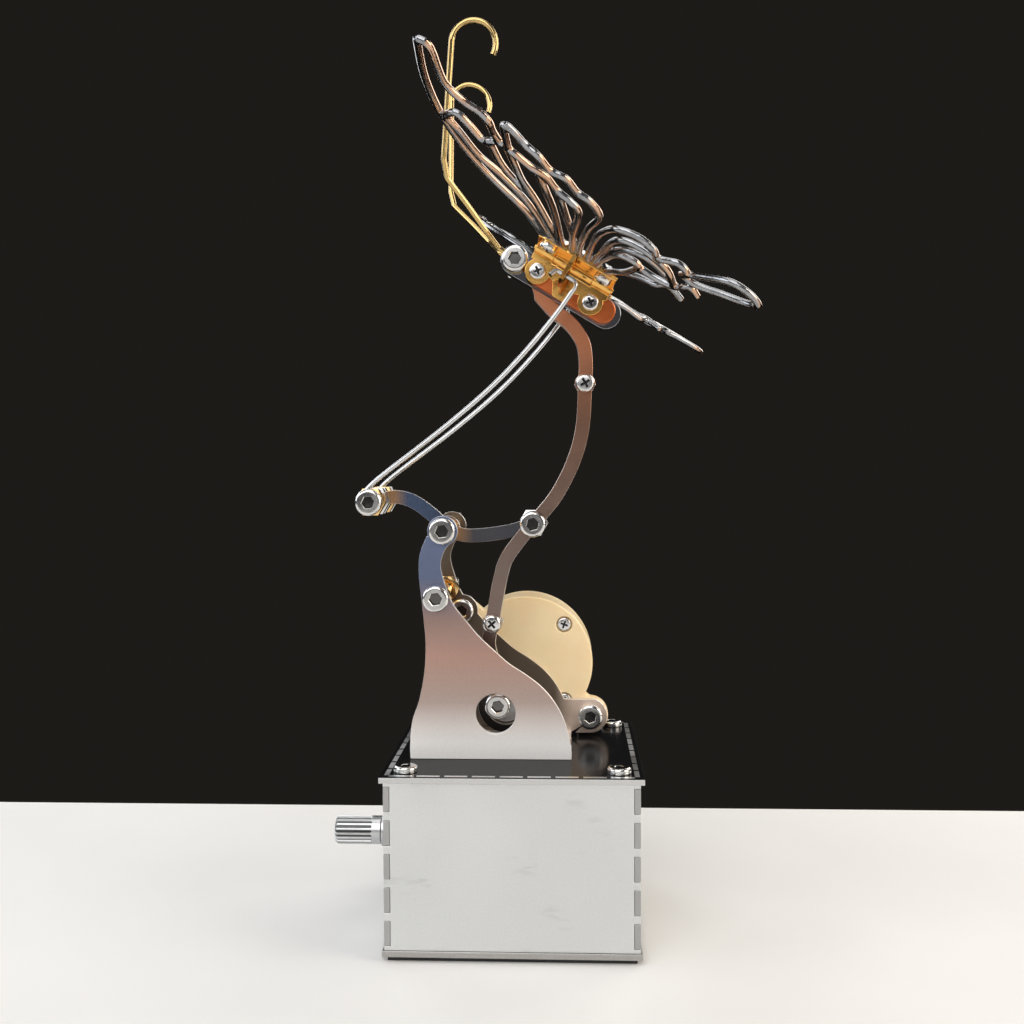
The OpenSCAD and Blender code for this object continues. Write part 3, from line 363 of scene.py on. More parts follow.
# Inside the box: brass corner posts tapped for the screws, a small green board, the tinned can of the
# speed control behind its lock nut, and the power socket in the rear wall.
brass_dark, brass_light = (0.62, 0.43, 0.15), (0.80, 0.60, 0.26)
tin_dark, tin_light = (0.50, 0.505, 0.51), (0.64, 0.645, 0.65)
mask_dark, mask_light = (0.010, 0.085, 0.035), (0.022, 0.14, 0.06)
brass = finish("turned_brass", brass_dark, brass_light, (0.15, 0.26), stretch=(1, 1, 8), scale=1200.0)[0]
tin = finish("tinned_steel", tin_dark, tin_light, (0.28, 0.42), scale=1400.0)[0]
board_mask = finish("green_board", mask_dark, mask_light, (0.30, 0.45), metallic=0.0, scale=800.0)[0]
softened("corner_posts", brass, 0.15)
softened("control_board", board_mask, 0.05)
softened("pot_body", tin, 0.2)
softened("power_socket", tin, 0.12)


# Speed control shaft: zinc-cast, 6 mm thick, with 18 ribs pressed lengthwise for a knob.
# The ribbed end has a small chamfer, and the shaft turns in the bush of the control's can.
shaft_start, shaft_end, shaft_z = -39.0, -29.2, 18.2
shaft_radius, rib_count, rib_length, rib_depth = 3.0, 18, 8.0, 0.45
zinc_dark, zinc_light, groove_shade = (0.53, 0.54, 0.545), (0.66, 0.67, 0.675), (0.13, 0.13, 0.128)


def geometry_tree(name, **inputs):
    """An empty Geometry Nodes tree with its named inputs, listed by kind, and its two ends."""
    tree = bpy.data.node_groups.new(name, "GeometryNodeTree")
    for kind, labels in inputs.items():
        for label in labels:
            tree.interface.new_socket(label, in_out="INPUT", socket_type="NodeSocket" + kind)
    tree.interface.new_socket("Geometry", in_out="OUTPUT", socket_type="NodeSocketGeometry")
    return tree, add(tree, "NodeGroupInput").outputs, add(tree, "NodeGroupOutput").inputs["Geometry"]


def dressed(tree, geometry, material, leave):
    """Ends a tree: its instances made real, in their finish."""
    real = first(tree, "GeometryNodeRealizeInstances", {0: geometry})
    feed(tree, first(tree, "GeometryNodeSetMaterial", {"Geometry": real, "Material": material}), leave)


def inward(tree, spot, depth):
    """An offset by depth towards the Z axis."""
    level = first(tree, "ShaderNodeCombineXYZ", {"X": spot["X"], "Y": spot["Y"]})
    outward = first(tree, "ShaderNodeVectorMath", {0: level}, operation="NORMALIZE")
    back = calc(tree, "MULTIPLY", depth, -1.0)
    return first(tree, "ShaderNodeVectorMath", {0: outward, "Scale": back}, operation="SCALE")


def mark(tree, name):
    """A mark that the mesh carries, as a value."""
    return add(tree, "ShaderNodeAttribute", attribute_name=name).outputs["Fac"]


def made(name, tree, start, values):
    """The piece that a node tree makes from a start mesh, its inputs set by their identifiers."""
    carrier = shown(name + "_start", start)
    step = carrier.modifiers.new("shape", "NODES")
    step.node_group = tree
    for item in tree.interface.items_tree:
        if item.in_out == "INPUT" and item.name in values:
            step[item.identifier] = values[item.name]
    return baked(carrier, name)


def smoothed(piece, angle=40.0):
    piece.data.shade_smooth()
    piece.data.set_sharp_from_angle(angle=math.radians(angle))
    return piece


ribbed, entry, leave = geometry_tree(
    "ribbed_shaft", Geometry=("Geometry",), Float=("Radius", "Length", "Ribs", "Rib length", "Rib depth"),
    Material=("Finish",))
sums = partial(calc, ribbed)
size = {"Vertices": 216, "Side Segments": 60, "Radius": entry["Radius"], "Depth": entry["Length"]}
rod = first(ribbed, "GeometryNodeMeshCylinder", size, fill_type="NGON")
spot = apart(ribbed, first(ribbed, "GeometryNodeInputPosition"))
turns = sums("DIVIDE", sums("ARCTAN2", spot["Y"], spot["X"]), 2 * math.pi)
share = sums("FRACT", sums("MULTIPLY", turns, entry["Ribs"]))
groove = ranged(ribbed, sums("ABSOLUTE", sums("SUBTRACT", share, 0.5)), 0.21, 0.36)
down = sums("SUBTRACT", sums("DIVIDE", entry["Length"], 2.0), spot["Z"])
in_ribs = ranged(ribbed, sums("SUBTRACT", entry["Rib length"], down), 0.0, 0.3 * mm)
tip = ranged(ribbed, down, 0.0, 0.5 * mm, 0.45 * mm, 0.0)
sunk = sums("MULTIPLY", groove, in_ribs)
inset = sums("ADD", tip, sums("MULTIPLY", sunk, entry["Rib depth"]))
shaped = first(ribbed, "GeometryNodeSetPosition", {"Geometry": rod, "Offset": inward(ribbed, spot, inset)})
marked = first(ribbed, "GeometryNodeStoreNamedAttribute", {"Geometry": shaped, "Name": "groove", "Value": sunk},
               data_type="FLOAT", domain="POINT")
dressed(ribbed, marked, entry["Finish"], leave)
zinc, tree, shader, place, colour = finish(
    "cast_zinc", zinc_dark, zinc_light, (0.29, 0.42), stretch=(0.2, 1, 1), scale=1500.0, relief=0.004)
# Painted shade: the grooves between the ribs are painted darker.
toned(tree, shader, mark(tree, "groove"), colour, groove_shade)
shaft_long = shaft_end - shaft_start
shaft = made("pot_shaft_piece", ribbed, bpy.data.meshes.new("shaft_start"), {
    "Radius": shaft_radius * mm, "Length": shaft_long * mm, "Ribs": float(rib_count),
    "Rib length": rib_length * mm, "Rib depth": rib_depth * mm, "Finish": zinc})
shaft.data.transform(Matrix.Translation(Vector(((shaft_start + shaft_end) / 2, 0, shaft_z)) * mm)
                     @ Matrix.Rotation(math.radians(-90), 4, "Y"))
smoothed(shaft, 30.0)
carry(shaft, "control", "wire_steel", "pot_shaft")


# Top plate: sheet steel with a satin black top, a border of bare dashes near its edge, and bare cut sides.
# It lies on the walls and stands a little proud of them all round.
deck_edge, deck_half, deck_top = 0.15, 25.75, 36.5
dash_length, dash_width, dash_height, dash_in, dash_count = 4.5, 0.95, 0.03, 1.35, 9
deck_black, deck_dust = (0.003, 0.003, 0.0035), (0.011, 0.011, 0.012)
bare_dark, bare_light = (0.60, 0.60, 0.60), (0.80, 0.81, 0.82)
black_top, tree, shader, place, colour = finish("black_top", deck_black, deck_dust, (0.15, 0.25), metallic=0.0,
                                                scale=2600.0, marks=40.0, relief=0.002)
height = apart(tree, place)["Z"]
bare = ranged(tree, height, (deck_top - 0.10) * mm, (deck_top - 0.04) * mm, 1.0, 0.0)
feed(tree, bare, shader.inputs["Metallic"])
toned(tree, shader, bare, colour, bare_dark)
shader.inputs["Specular IOR Level"].default_value = 0.035
softened("top_plate", black_top, deck_edge)


def turned(name, rings, sides=36, bored=False):
    """A closed mesh (mm) through rings (reach, height, corners, slope), outside upwards, then inwards.
    A ring with corners is a polygon across its flats, and slope lifts its corners.
    bored joins the last ring to the first."""
    verts, faces = [], []
    for reach, height, corners, slope in rings:
        for i in range(sides):
            a = 2 * math.pi * i / sides
            part = 2 * math.pi / corners if corners else 0.0
            r = reach / math.cos(a % part - part / 2) if corners else reach
            verts.append((r * math.cos(a), r * math.sin(a), height + slope * (r - reach)))
    total = len(rings)
    for k in range(total if bored else total - 1):
        low, high = k * sides, (k + 1) % total * sides
        for i in range(sides):
            j = (i + 1) % sides
            faces.append((low + i, low + j, high + j, high + i))
    if not bored:
        faces.append(tuple(reversed(range(sides))))
        faces.append(tuple(range((total - 1) * sides, total * sides)))
    mesh = bpy.data.meshes.new(name)
    mesh.from_pydata(verts, [], faces)
    return mesh


fastened, entry, leave = geometry_tree(
    "set_fasteners", Geometry=("Points",), Object=("Head",), Bool=("Threaded",),
    Float=("Shank radius", "Shank length", "Pitch", "Thread depth"), Material=("Head finish", "Thread finish"))
sums, step = partial(calc, fastened), partial(first, fastened)
head = add(fastened, "GeometryNodeObjectInfo", {"Object": entry["Head"]}).outputs["Geometry"]
turns = sums("DIVIDE", entry["Shank length"], entry["Pitch"])
size = {"Vertices": 18, "Side Segments": sums("MULTIPLY", turns, 6.0), "Radius": entry["Shank radius"],
        "Depth": entry["Shank length"]}
rod = step("GeometryNodeMeshCylinder", size, fill_type="NGON")
spot = apart(fastened, step("GeometryNodeInputPosition"))
angle = sums("DIVIDE", sums("ARCTAN2", spot["Y"], spot["X"]), 2 * math.pi)
rise = sums("ADD", sums("DIVIDE", spot["Z"], entry["Pitch"]), angle)
vee = sums("ABSOLUTE", sums("SUBTRACT", sums("FRACT", rise), 0.5))
half = sums("DIVIDE", entry["Shank length"], 2.0)
lead_in = ranged(fastened, sums("ADD", spot["Z"], half), 0.0, 0.4 * mm, 0.25 * mm, 0.0)
cut = sums("ADD", sums("MULTIPLY", sums("MULTIPLY", vee, 2.0), entry["Thread depth"]), lead_in)
drop = step("ShaderNodeCombineXYZ", {"Z": sums("MULTIPLY", half, -1.0)})
shift = step("ShaderNodeVectorMath", {0: inward(fastened, spot, cut), 1: drop}, operation="ADD")
shank = step("GeometryNodeSetPosition", {"Geometry": rod, "Offset": shift})
shank = step("GeometryNodeStoreNamedAttribute", {"Geometry": shank, "Name": "thread", "Value": True},
             data_type="BOOLEAN", domain="FACE")
both = add(fastened, "GeometryNodeJoinGeometry")
feed(fastened, head, both.inputs[0])
feed(fastened, shank, both.inputs[0])
whole = step("GeometryNodeSwitch", {"Switch": entry["Threaded"], "False": head, "True": both.outputs[0]},
             input_type="GEOMETRY")
facing = step("GeometryNodeInputNamedAttribute", {"Name": "facing"}, data_type="FLOAT_VECTOR")
roll = step("GeometryNodeInputNamedAttribute", {"Name": "roll"}, data_type="FLOAT")
stand = step("FunctionNodeAlignRotationToVector", {"Vector": facing}, axis="Z")
about = step("FunctionNodeEulerToRotation", {0: step("ShaderNodeCombineXYZ", {"Z": roll})})
stand = step("FunctionNodeRotateRotation", {0: stand, 1: about}, rotation_space="LOCAL")
placed = step("GeometryNodeInstanceOnPoints", {"Points": entry["Points"], "Instance": whole, "Rotation": stand})
real = step("GeometryNodeRealizeInstances", {0: placed})
coated = step("GeometryNodeSetMaterial", {"Geometry": real, "Material": entry["Head finish"]})
cut_part = step("GeometryNodeInputNamedAttribute", {"Name": "thread"}, data_type="BOOLEAN")
feed(fastened, step("GeometryNodeSetMaterial", {"Geometry": coated, "Selection": cut_part,
                                                "Material": entry["Thread finish"]}), leave)


def fasten(name, body, nodes, shape, places, material, shank=None, thread_finish=None,
           slot_name="bright_fastener"):
    """Copies of one shape (mm) at places (x, y, z, facing, roll in degrees).
    shank is the thread's radius, length and pitch (mm), if there is one."""
    points = bpy.data.meshes.new(name + "_points")
    points.from_pydata([Vector(p[:3]) * mm for p in places], [], [])
    ways = points.attributes.new("facing", "FLOAT_VECTOR", "POINT")
    ways.data.foreach_set("vector", [c for p in places for c in p[3]])
    rolls = points.attributes.new("roll", "FLOAT", "POINT")
    rolls.data.foreach_set("value", [math.radians(p[4]) for p in places])
    source_mesh = shape.copy()
    source_mesh.transform(Matrix.Scale(mm, 4))
    source = shown(name + "_source", source_mesh)
    radius, length, pitch = shank or (1.0, 1.0, 0.5)
    piece = made(name, fastened, points, {
        "Head": source, "Threaded": shank is not None, "Shank radius": radius * mm, "Shank length": length * mm,
        "Pitch": pitch * mm, "Thread depth": 0.55 * pitch * mm, "Head finish": material,
        "Thread finish": thread_finish or material})
    bpy.data.objects.remove(source)
    for label in ("facing", "roll", "thread"):
        if label in piece.data.attributes:
            piece.data.attributes.remove(piece.data.attributes[label])
    return carry(smoothed(piece, 38.0), body, slot_name, *nodes)


bare_metal = finish("bare_border", bare_dark, bare_light, (0.34, 0.46), scale=1800.0)[0]
dash_x, dash_y = dash_length / 2, dash_width / 2
dash_ring = ((dash_x, dash_y), (-dash_x, dash_y), (-dash_x, -dash_y), (dash_x, -dash_y))
dash = bpy.data.meshes.new("dash")
dash.from_pydata([(x, y, z) for z in (-0.02, dash_height) for x, y in dash_ring], [],
                 [(3, 2, 1, 0), (4, 5, 6, 7), (0, 1, 5, 4), (1, 2, 6, 5), (2, 3, 7, 6), (3, 0, 4, 7)])
line = deck_half - dash_in
dash_step = 2 * (line - dash_length * 0.62) / (dash_count - 1)
dash_places = []
for i in range(dash_count):
    along = (i - (dash_count - 1) / 2) * dash_step
    for x, y, roll in ((along, -line, 0), (along, line, 0), (-line, along, 90), (line, along, 90)):
        dash_places.append((x, y, deck_top, (0, 0, 1), roll))
fasten("top_plate_border", "case_and_frame", (), dash, dash_places, bare_metal, slot_name="case_sheet")


# Box and foot screws: nickel-plated steel, with rounded heads and hexagon sockets on top and flat heads below.
# Four hold the top plate to the posts, four hold the bottom plate, and four more clamp the frame's feet.
nickel_dark, nickel_light = (0.70, 0.695, 0.685), (0.78, 0.775, 0.765)
socket_shade, flat_face_shade = (0.13, 0.125, 0.12), 0.3
post_at, floor_face, foot_top = 21.0, 1.0, 37.7
up, down = (0, 0, 1), (0, 0, -1)
nickel, tree, shader, place, colour = finish(
    "bright_nickel", nickel_dark, nickel_light, (0.13, 0.26), scale=1500.0, marks=160.0, relief=0.001)
# Painted shade: the hexagon sockets are painted dark, and the flat faces take a share of that darkening.
toned(tree, shader, mark(tree, "socket"), colour, socket_shade)


def button_head(name, radius, height, flats):
    """A screw head with a rounded shoulder, a flat face and a hexagon socket, standing on z = 0."""
    shoulder, rise = 0.24 * radius, 0.4 * height
    rings = [(radius - 0.1, 0, 0, 0), (radius, 0.1, 0, 0), (radius, height - rise, 0, 0)]
    for i in range(1, 9):
        a = math.pi / 2 * i / 8
        rings.append((radius - shoulder + shoulder * math.cos(a), height - rise + rise * math.sin(a), 0, 0))
    guard, lead = 0.03 * radius, 0.04 * radius
    rings += [(radius - shoulder - guard, height, 0, 0), (0.6 * flats + guard + lead, height, 0, 0),
              (flats / 2 + lead, height, 6, 0), (flats / 2, height - lead, 6, 0),
              (flats / 2, 0.35 * height, 6, 0)]
    mesh = turned(name, rings)
    # Marks the socket's faces for full painted shade and the flat face for a share of it.
    shade = []
    for f in mesh.polygons:
        inside = f.center.z < height - lead and f.center.xy.length < 0.6 * flats and f.normal.z > -0.5
        shade.append(1.0 if inside else flat_face_shade if f.center.z > height - 0.01 else 0.0)
    mesh.attributes.new("socket", "FLOAT", "FACE").data.foreach_set("value", shade)
    return mesh


def flat_head(name, radius, neck, depth, flats):
    """A countersunk screw head with a hexagon socket, its face on z = 0."""
    r = flats / 2
    return turned(name, [(neck, -depth, 0, 0), (radius, -0.1, 0, 0), (radius - 0.06, 0, 0, 0),
                         (r + 0.08, 0, 6, 0), (r, -0.08, 6, 0), (r, -0.75 * depth, 6, 0)])


corner_places = [(x, y) for x in (-post_at, post_at) for y in (-post_at, post_at)]
fasten("case_screws_above", "case_and_frame", ("case_screws",), button_head("box_head", 2.35, 1.3, 1.5),
       [(x, y, deck_top, up, 14) for x, y in corner_places], nickel, (1.25, 6.5, 0.45))
fasten("case_screws_below", "case_and_frame", (), flat_head("floor_head", 2.3, 1.25, 1.0, 1.4),
       [(x, y, floor_face, down, 20) for x, y in corner_places], nickel, (1.2, 6.5, 0.45))
fasten("foot_screws_set", "case_and_frame", ("foot_screws",), button_head("foot_head", 1.9, 1.2, 1.3),
       [(x, y, foot_top, up, 9) for x in (-16.0, 6.5) for y in (-6.3, 6.3)], nickel)
control_nut = turned("control_nut", [(3.7, 0, 0, 0), (4.75, 0, 0, 0), (5.0, 0, 6, 0.45), (5.0, 2.0, 6, -0.45),
                                     (4.75, 2.0, 0, 0), (3.7, 2.0, 0, 0), (3.5, 1.8, 0, 0), (3.5, 0.2, 0, 0)],
                     48, True)
fasten("control_nut_set", "case_and_frame", ("pot_nut",), control_nut,
       [(-25.0, 0, shaft_z, (-1, 0, 0), 30)], nickel)


# Motor leads: two thin insulated wires from the motor's tags, down through a rubber grommet to the board.
# They are held at both ends and by the grommet all the way, so they keep their bends.
lead_radius, lead_bend = 0.55, 1.6
motor_x, lead_routes = 1.7, {"red": (-3.5, 11.2), "black": (3.5, 12.8)}
lead_red = (0.28, 0.012, 0.010), (0.40, 0.022, 0.018)
lead_black = (0.012, 0.012, 0.013), (0.030, 0.030, 0.032)


def swept(tree, path, radius, sides):
    """A round bar along a path, with closed ends."""
    ring = first(tree, "GeometryNodeCurvePrimitiveCircle", {"Resolution": sides, "Radius": radius})
    return first(tree, "GeometryNodeCurveToMesh", {"Curve": path, "Profile Curve": ring, "Fill Caps": True})


def evened(tree, path, length):
    """The path with points at that distance."""
    return first(tree, "GeometryNodeResampleCurve", {"Curve": path, "Length": length}, mode="LENGTH")


bent_wire, entry, leave = geometry_tree(
    "bent_wire", Geometry=("Path",), Float=("Radius", "Bend"), Int=("Sides",), Material=("Finish",))
run = first(bent_wire, "GeometryNodeMeshToCurve", {0: entry["Path"]})
bend = {"Curve": run, "Count": 8, "Radius": entry["Bend"], "Limit Radius": True}
run = first(bent_wire, "GeometryNodeFilletCurve", bend, mode="POLY")
run = evened(bent_wire, run, calc(bent_wire, "MULTIPLY", entry["Radius"], 0.5))
dressed(bent_wire, swept(bent_wire, run, entry["Radius"], entry["Sides"]), entry["Finish"], leave)


def strung(name, runs):
    """A mesh of edges along each run of points."""
    verts, edges = [], []
    for points in runs:
        edges += [(len(verts) + i, len(verts) + i + 1) for i in range(len(points) - 1)]
        verts += points
    mesh = bpy.data.meshes.new(name)
    mesh.from_pydata(verts, edges, [])
    return mesh


def wire(name, runs, radius, bend, material, sides=16):
    """A wire of that radius (mm) along each run of points (mm), with rounded bends."""
    path = strung(name + "_path", [[Vector(p) * mm for p in points] for points in runs])
    values = {"Radius": radius * mm, "Bend": bend * mm, "Sides": sides, "Finish": material}
    return smoothed(made(name, bent_wire, path, values), 50.0)


covers = {"black": finish("black_insulation", *lead_black, (0.35, 0.5), metallic=0.0, scale=1200.0)[0],
          "red": finish("red_insulation", *lead_red, (0.32, 0.46), metallic=0.0, scale=1200.0)[0]}
low_run = ((26.5, 40.3), (21.3, 38.9), (20.5, 36.5), (20.5, 30.3), (17.5, 23.3), (10.4, 14.2), (10, 11.2),
           (10, 8.2))
for label, (side, low_x) in lead_routes.items():
    tag_x = motor_x + side
    route = [(tag_x, 33.1, 52.7), (tag_x, 33.1, 47.5), (tag_x + 0.4, 33.1, 42.7)]
    route += [(low_x, y, z) for y, z in low_run]
    lead = wire("motor_lead_" + label, [route], lead_radius, lead_bend, covers[label])
    carry(lead, "case_and_frame", "lead_insulation", "motor_leads")
softened("lead_grommet", rubber, 0.25)


# Frame plates: two upright sheets of steel, cut to the same sweeping outline, with feet bent under them.
# They are ground satin, and their colour is painted reflection: the front plate is silver at the foot, rosy in
# the middle and slate blue at the top.
plate_edge, plate_bottom, plate_top, foot_low, foot_high = 0.14, 36.5, 90.0, 38.0, 52.0
plate_foot, plate_low, plate_rose = (0.95, 0.935, 0.915), (0.53, 0.42, 0.375), (0.55, 0.345, 0.285)
plate_mauve, plate_slate = (0.40, 0.28, 0.25), (0.175, 0.215, 0.335)
rear_painted_shade, ear_painted_light = (0.20, 0.16, 0.122), (0.95, 0.77, 0.65)
cut_steel = (0.82, 0.80, 0.78)


def light_painted_steel(name, stops, low, high, axis="Z", rough=(0.36, 0.46)):
    """Ground steel whose colour runs through stops from low to high (mm) along an axis, with bare cut edges;
    the stops are painted reflection and shade.
    """
    material, tree, shader, place, grain = finish(
        name, (0.90, 0.90, 0.90), (1.0, 1.0, 1.0), rough, scale=2000.0, relief=0.002)
    tone = ramp(tree, ranged(tree, apart(tree, place)[axis], low * mm, high * mm), *stops)
    both = add(tree, "ShaderNodeMix", {0: 1.0, 6: tone, 7: grain}, data_type="RGBA", blend_type="MULTIPLY")
    tone = toned(tree, shader, mark(tree, "cut_edge"), both.outputs[2], cut_steel)
    return material, tree, shader, place, tone


def show_cuts(piece):
    """Marks the faces that the cutter left, all but the front and the back."""
    marks = piece.data.attributes.new("cut_edge", "FLOAT", "FACE")
    marks.data.foreach_set("value", [float(abs(face.normal.y) < 0.9) for face in piece.data.polygons])


# Front plate: the colour stops up its height are painted reflection.
front_steel, tree, shader, place, colour = light_painted_steel(
    "front_plate_steel", ((0.0, plate_foot), (0.06, plate_foot), (0.22, plate_low), (0.40, plate_rose),
                          (0.54, plate_mauve), (0.70, plate_slate)), plate_bottom, plate_top)
metal = ranged(tree, apart(tree, place)["Z"], foot_low * mm, foot_high * mm, 0.1, 1.0, smooth=True)
feed(tree, metal, shader.inputs["Metallic"])
# Rear plate: painted shade over its left and middle, which show through the sight hole, and painted light on
# its right ear.
rear_steel = light_painted_steel(
    "rear_plate_steel", ((0.0, rear_painted_shade), (0.70, rear_painted_shade), (0.80, ear_painted_light)), -20.0, 20.0, "X")[0]
show_cuts(softened("front_frame_plate", front_steel, plate_edge))
show_cuts(softened("rear_frame_plate", rear_steel, plate_edge))


# Frame bolts, nuts and spacers: M3 button-head bolts of bright steel with passivated, golden threads.
# The upper one is the rocker's pivot, with two brass spacers; the lower one ties the plates between four nuts.
pivot, tie = (-14.5, 83.4), (-15.9, 69.6)
upper_ear, lower_ear = (-12.5, 64.5), (15.9, 41.1)
front = (0, -1, 0)
bolt_head = button_head("bolt_head", 2.75, 1.65, 2.3)
nut_flats, nut_height, nut_bore = 5.5, 2.2, 1.55
thread_dark, thread_light = (0.80, 0.50, 0.19), (0.94, 0.66, 0.32)
gold_thread = finish("passivated_thread", thread_dark, thread_light, (0.15, 0.26), scale=1200.0,
                     relief=0.002)[0]


def hex_nut(name, flats, height, bore):
    """A hexagon nut on z = 0 with both faces chamfered at its corners."""
    r = flats / 2
    return turned(name, [(bore + 0.25, 0, 0, 0), (r - 0.12, 0, 0, 0), (r, 0.03, 6, 0.58),
                         (r, height - 0.03, 6, -0.58), (r - 0.12, height, 0, 0), (bore + 0.25, height, 0, 0),
                         (bore, height - 0.25, 0, 0), (bore, 0.25, 0, 0)], 48, True)


def nut_at(p, y, roll=0.0, height=nut_height):
    return (p[0], y + height, p[1], front, roll)


def m3_bolts(name, body, node, spots, seat, roll, length):
    """M3 bolts at spots (x, z) with their heads on y = seat, and a golden thread of that length."""
    fasten(name, body, (node,), bolt_head, [(x, seat, z, front, roll) for x, z in spots], nickel,
           (1.5, length, 0.5), gold_thread)


m3_nut = hex_nut("m3_nut", nut_flats, nut_height, nut_bore)
m3_bolts("frame_bolts_set", "case_and_frame", "frame_bolts", (pivot, tie), -11.0, 8, 25.0)
fasten("frame_nuts_set", "case_and_frame", ("frame_nuts",), m3_nut,
       [nut_at(pivot, 11.0), nut_at(tie, 11.0, 33.7), nut_at(upper_ear, 14.0), nut_at(lower_ear, 14.0)], nickel)
fasten("tie_nuts_inside", "case_and_frame", (), m3_nut, [nut_at(tie, -9.8), nut_at(tie, 7.6)], gold_thread)
softened("pivot_spacers", gold_thread, 0.12)


# Gear motor: a round gear case moulded in cream nylon with two ears, and behind its cover the motor's can.
# Two bolts hold its ears to the rear plate, three small screws close the case, and the gears run inside.
nylon_dark, nylon_light = (0.95, 0.70, 0.41), (0.97, 0.76, 0.48)
gear_dark, gear_light = (0.78, 0.77, 0.73), (0.88, 0.87, 0.83)
recess_shade_dark, recess_shade_light = (0.030, 0.030, 0.031), (0.070, 0.070, 0.072)
gear_axis, cover_reach, cover_face = (motor_x, 52.8), 12.0, 12.1
nylon, tree, shader, place, colour = finish(
    "cream_nylon", nylon_dark, nylon_light, (0.30, 0.44), metallic=0.0, scale=160.0, marks=90.0, relief=0.02)
for name, value in (("Weight", 0.3), ("Radius", (1.0, 0.7, 0.4)), ("Scale", 2.5 * mm)):
    shader.inputs["Subsurface " + name].default_value = value
white_gear = finish("white_gear", gear_dark, gear_light, (0.34, 0.46), metallic=0.0, scale=300.0)[0]
softened("gearbox_housing", nylon, 0.35)
softened("gearbox_cover", nylon, 0.3)
softened("motor_can", tin, 0.4)
softened("motor_pinion", brass, 0.04)
softened("idler_gear", white_gear, 0.04)
softened("output_gear", white_gear, 0.04)
m3_bolts("mount_bolts_set", "case_and_frame", "mount_bolts", (upper_ear, lower_ear), 9.8, 20, 7.4)


def pan_head(name, radius, height):
    """A rounded screw head with a cross recess, standing on z = 0."""
    rings = [(radius - 0.08, 0, 0, 0), (radius, 0.08, 0, 0), (radius, 0.4 * height, 0, 0)]
    for i in range(1, 7):
        a = math.pi / 2 * i / 6
        rings.append((0.72 * radius + 0.28 * radius * math.cos(a), 0.4 * height + 0.6 * height * math.sin(a),
                      0, 0))
    rings.append((0.1 * radius, height, 0, 0))
    dome = shown(name + "_dome", turned(name + "_dome", rings, 40))
    long, wide, deep, narrow = 0.62 * radius, 0.155 * radius, 0.5 * height, 0.72
    slots = bmesh.new()
    for a in (0, math.pi / 2):
        stand = Matrix.Rotation(a, 4, "Z") @ Matrix.Translation((0, 0, height))
        size = Matrix.Diagonal((2 * long, 2 * wide, 2 * deep, 1))
        for v in bmesh.ops.create_cube(slots, size=1.0, matrix=stand @ size)["verts"]:
            if v.co.z < height:
                v.co.x *= narrow
                v.co.y *= narrow
    cutter_mesh = bpy.data.meshes.new(name + "_cross")
    slots.to_mesh(cutter_mesh)
    slots.free()
    cutter = shown(name + "_cross", cutter_mesh)
    cut = dome.modifiers.new("cross", "BOOLEAN")
    cut.operation = "DIFFERENCE"
    cut.object = cutter
    cut.solver = "EXACT"
    cut.use_self = True
    piece = baked(dome, name)
    mesh = piece.data
    sunk = [f.center.z < height - 0.02 and f.center.xy.length < 1.05 * long for f in mesh.polygons]
    mesh.attributes.new("thread", "BOOLEAN", "FACE").data.foreach_set("value", sunk)
    bpy.data.objects.remove(piece)
    bpy.data.objects.remove(cutter)
    return mesh


# Painted shade: a dark finish for the pan heads' cross recesses, which the coupler screws' threads take too.
recess = finish("recess_painted_shade", recess_shade_dark, recess_shade_light, (0.4, 0.6), scale=1500.0)[0]
def around(centre, reach, y, angle):
    """The point at that reach and angle from a centre (x, z)."""
    return (centre[0] + reach * math.cos(angle), y, centre[1] + reach * math.sin(angle))


cover_places = [(*around(gear_axis, cover_reach, cover_face, math.radians(a)), front, 25 + a)
                for a in (45, 135, 315)]
fasten("cover_screws_set", "case_and_frame", ("cover_screws",), pan_head("case_pan", 1.6, 1.0), cover_places,
       nickel, thread_finish=recess)


# Eccentric: a turned steel disc on the gear motor's output shaft, with the crank bolt standing off its centre.
# The bolt's head shows through the round sight hole in the front plate.
crank_pin = (-3.8, 45.9)
softened("eccentric", tin, 0.15)
m3_bolts("crank_bolt_set", "crank", "crank_bolt", (crank_pin,), -2.5, 12, 7.5)


# Rocker: one curved lever of steel plate on the pivot bolt, painted with reflection: slate blue on its left arm
# and darker on its right.
# Its left end carries a long bolt with nuts, on which both push rods hang.
rod_pin, rocker_end, ground = (-29.6, 89.3), 3.7, (0.29, 0.36)
rocker_left, rocker_right, rocker_straw = (0.092, 0.125, 0.21), (0.098, 0.098, 0.112), (0.42, 0.26, 0.15)
rocker_steel = light_painted_steel(
    "rocker_steel", ((0.0, rocker_straw), (0.11, rocker_straw), (0.20, rocker_left), (0.45, rocker_left),
                     (0.52, rocker_straw), (0.62, rocker_right), (1.0, rocker_right)),
    rod_pin[0], rocker_end, "X", ground)[0]
show_cuts(softened("rocker_plate", rocker_steel, plate_edge))
m3_bolts("pushrod_pin_set", "rocker", "pushrod_pin", (rod_pin,), -10.2, 5, 23.0)
fasten("pushrod_nuts_set", "rocker", ("pushrod_pin_nuts",), m3_nut,
       [nut_at(rod_pin, y) for y in (10.2, 0.6, -2.8)], nickel)
fasten("pushrod_nuts_inside", "rocker", (), m3_nut, [nut_at(rod_pin, y) for y in (-8.8, 6.6)], gold_thread)


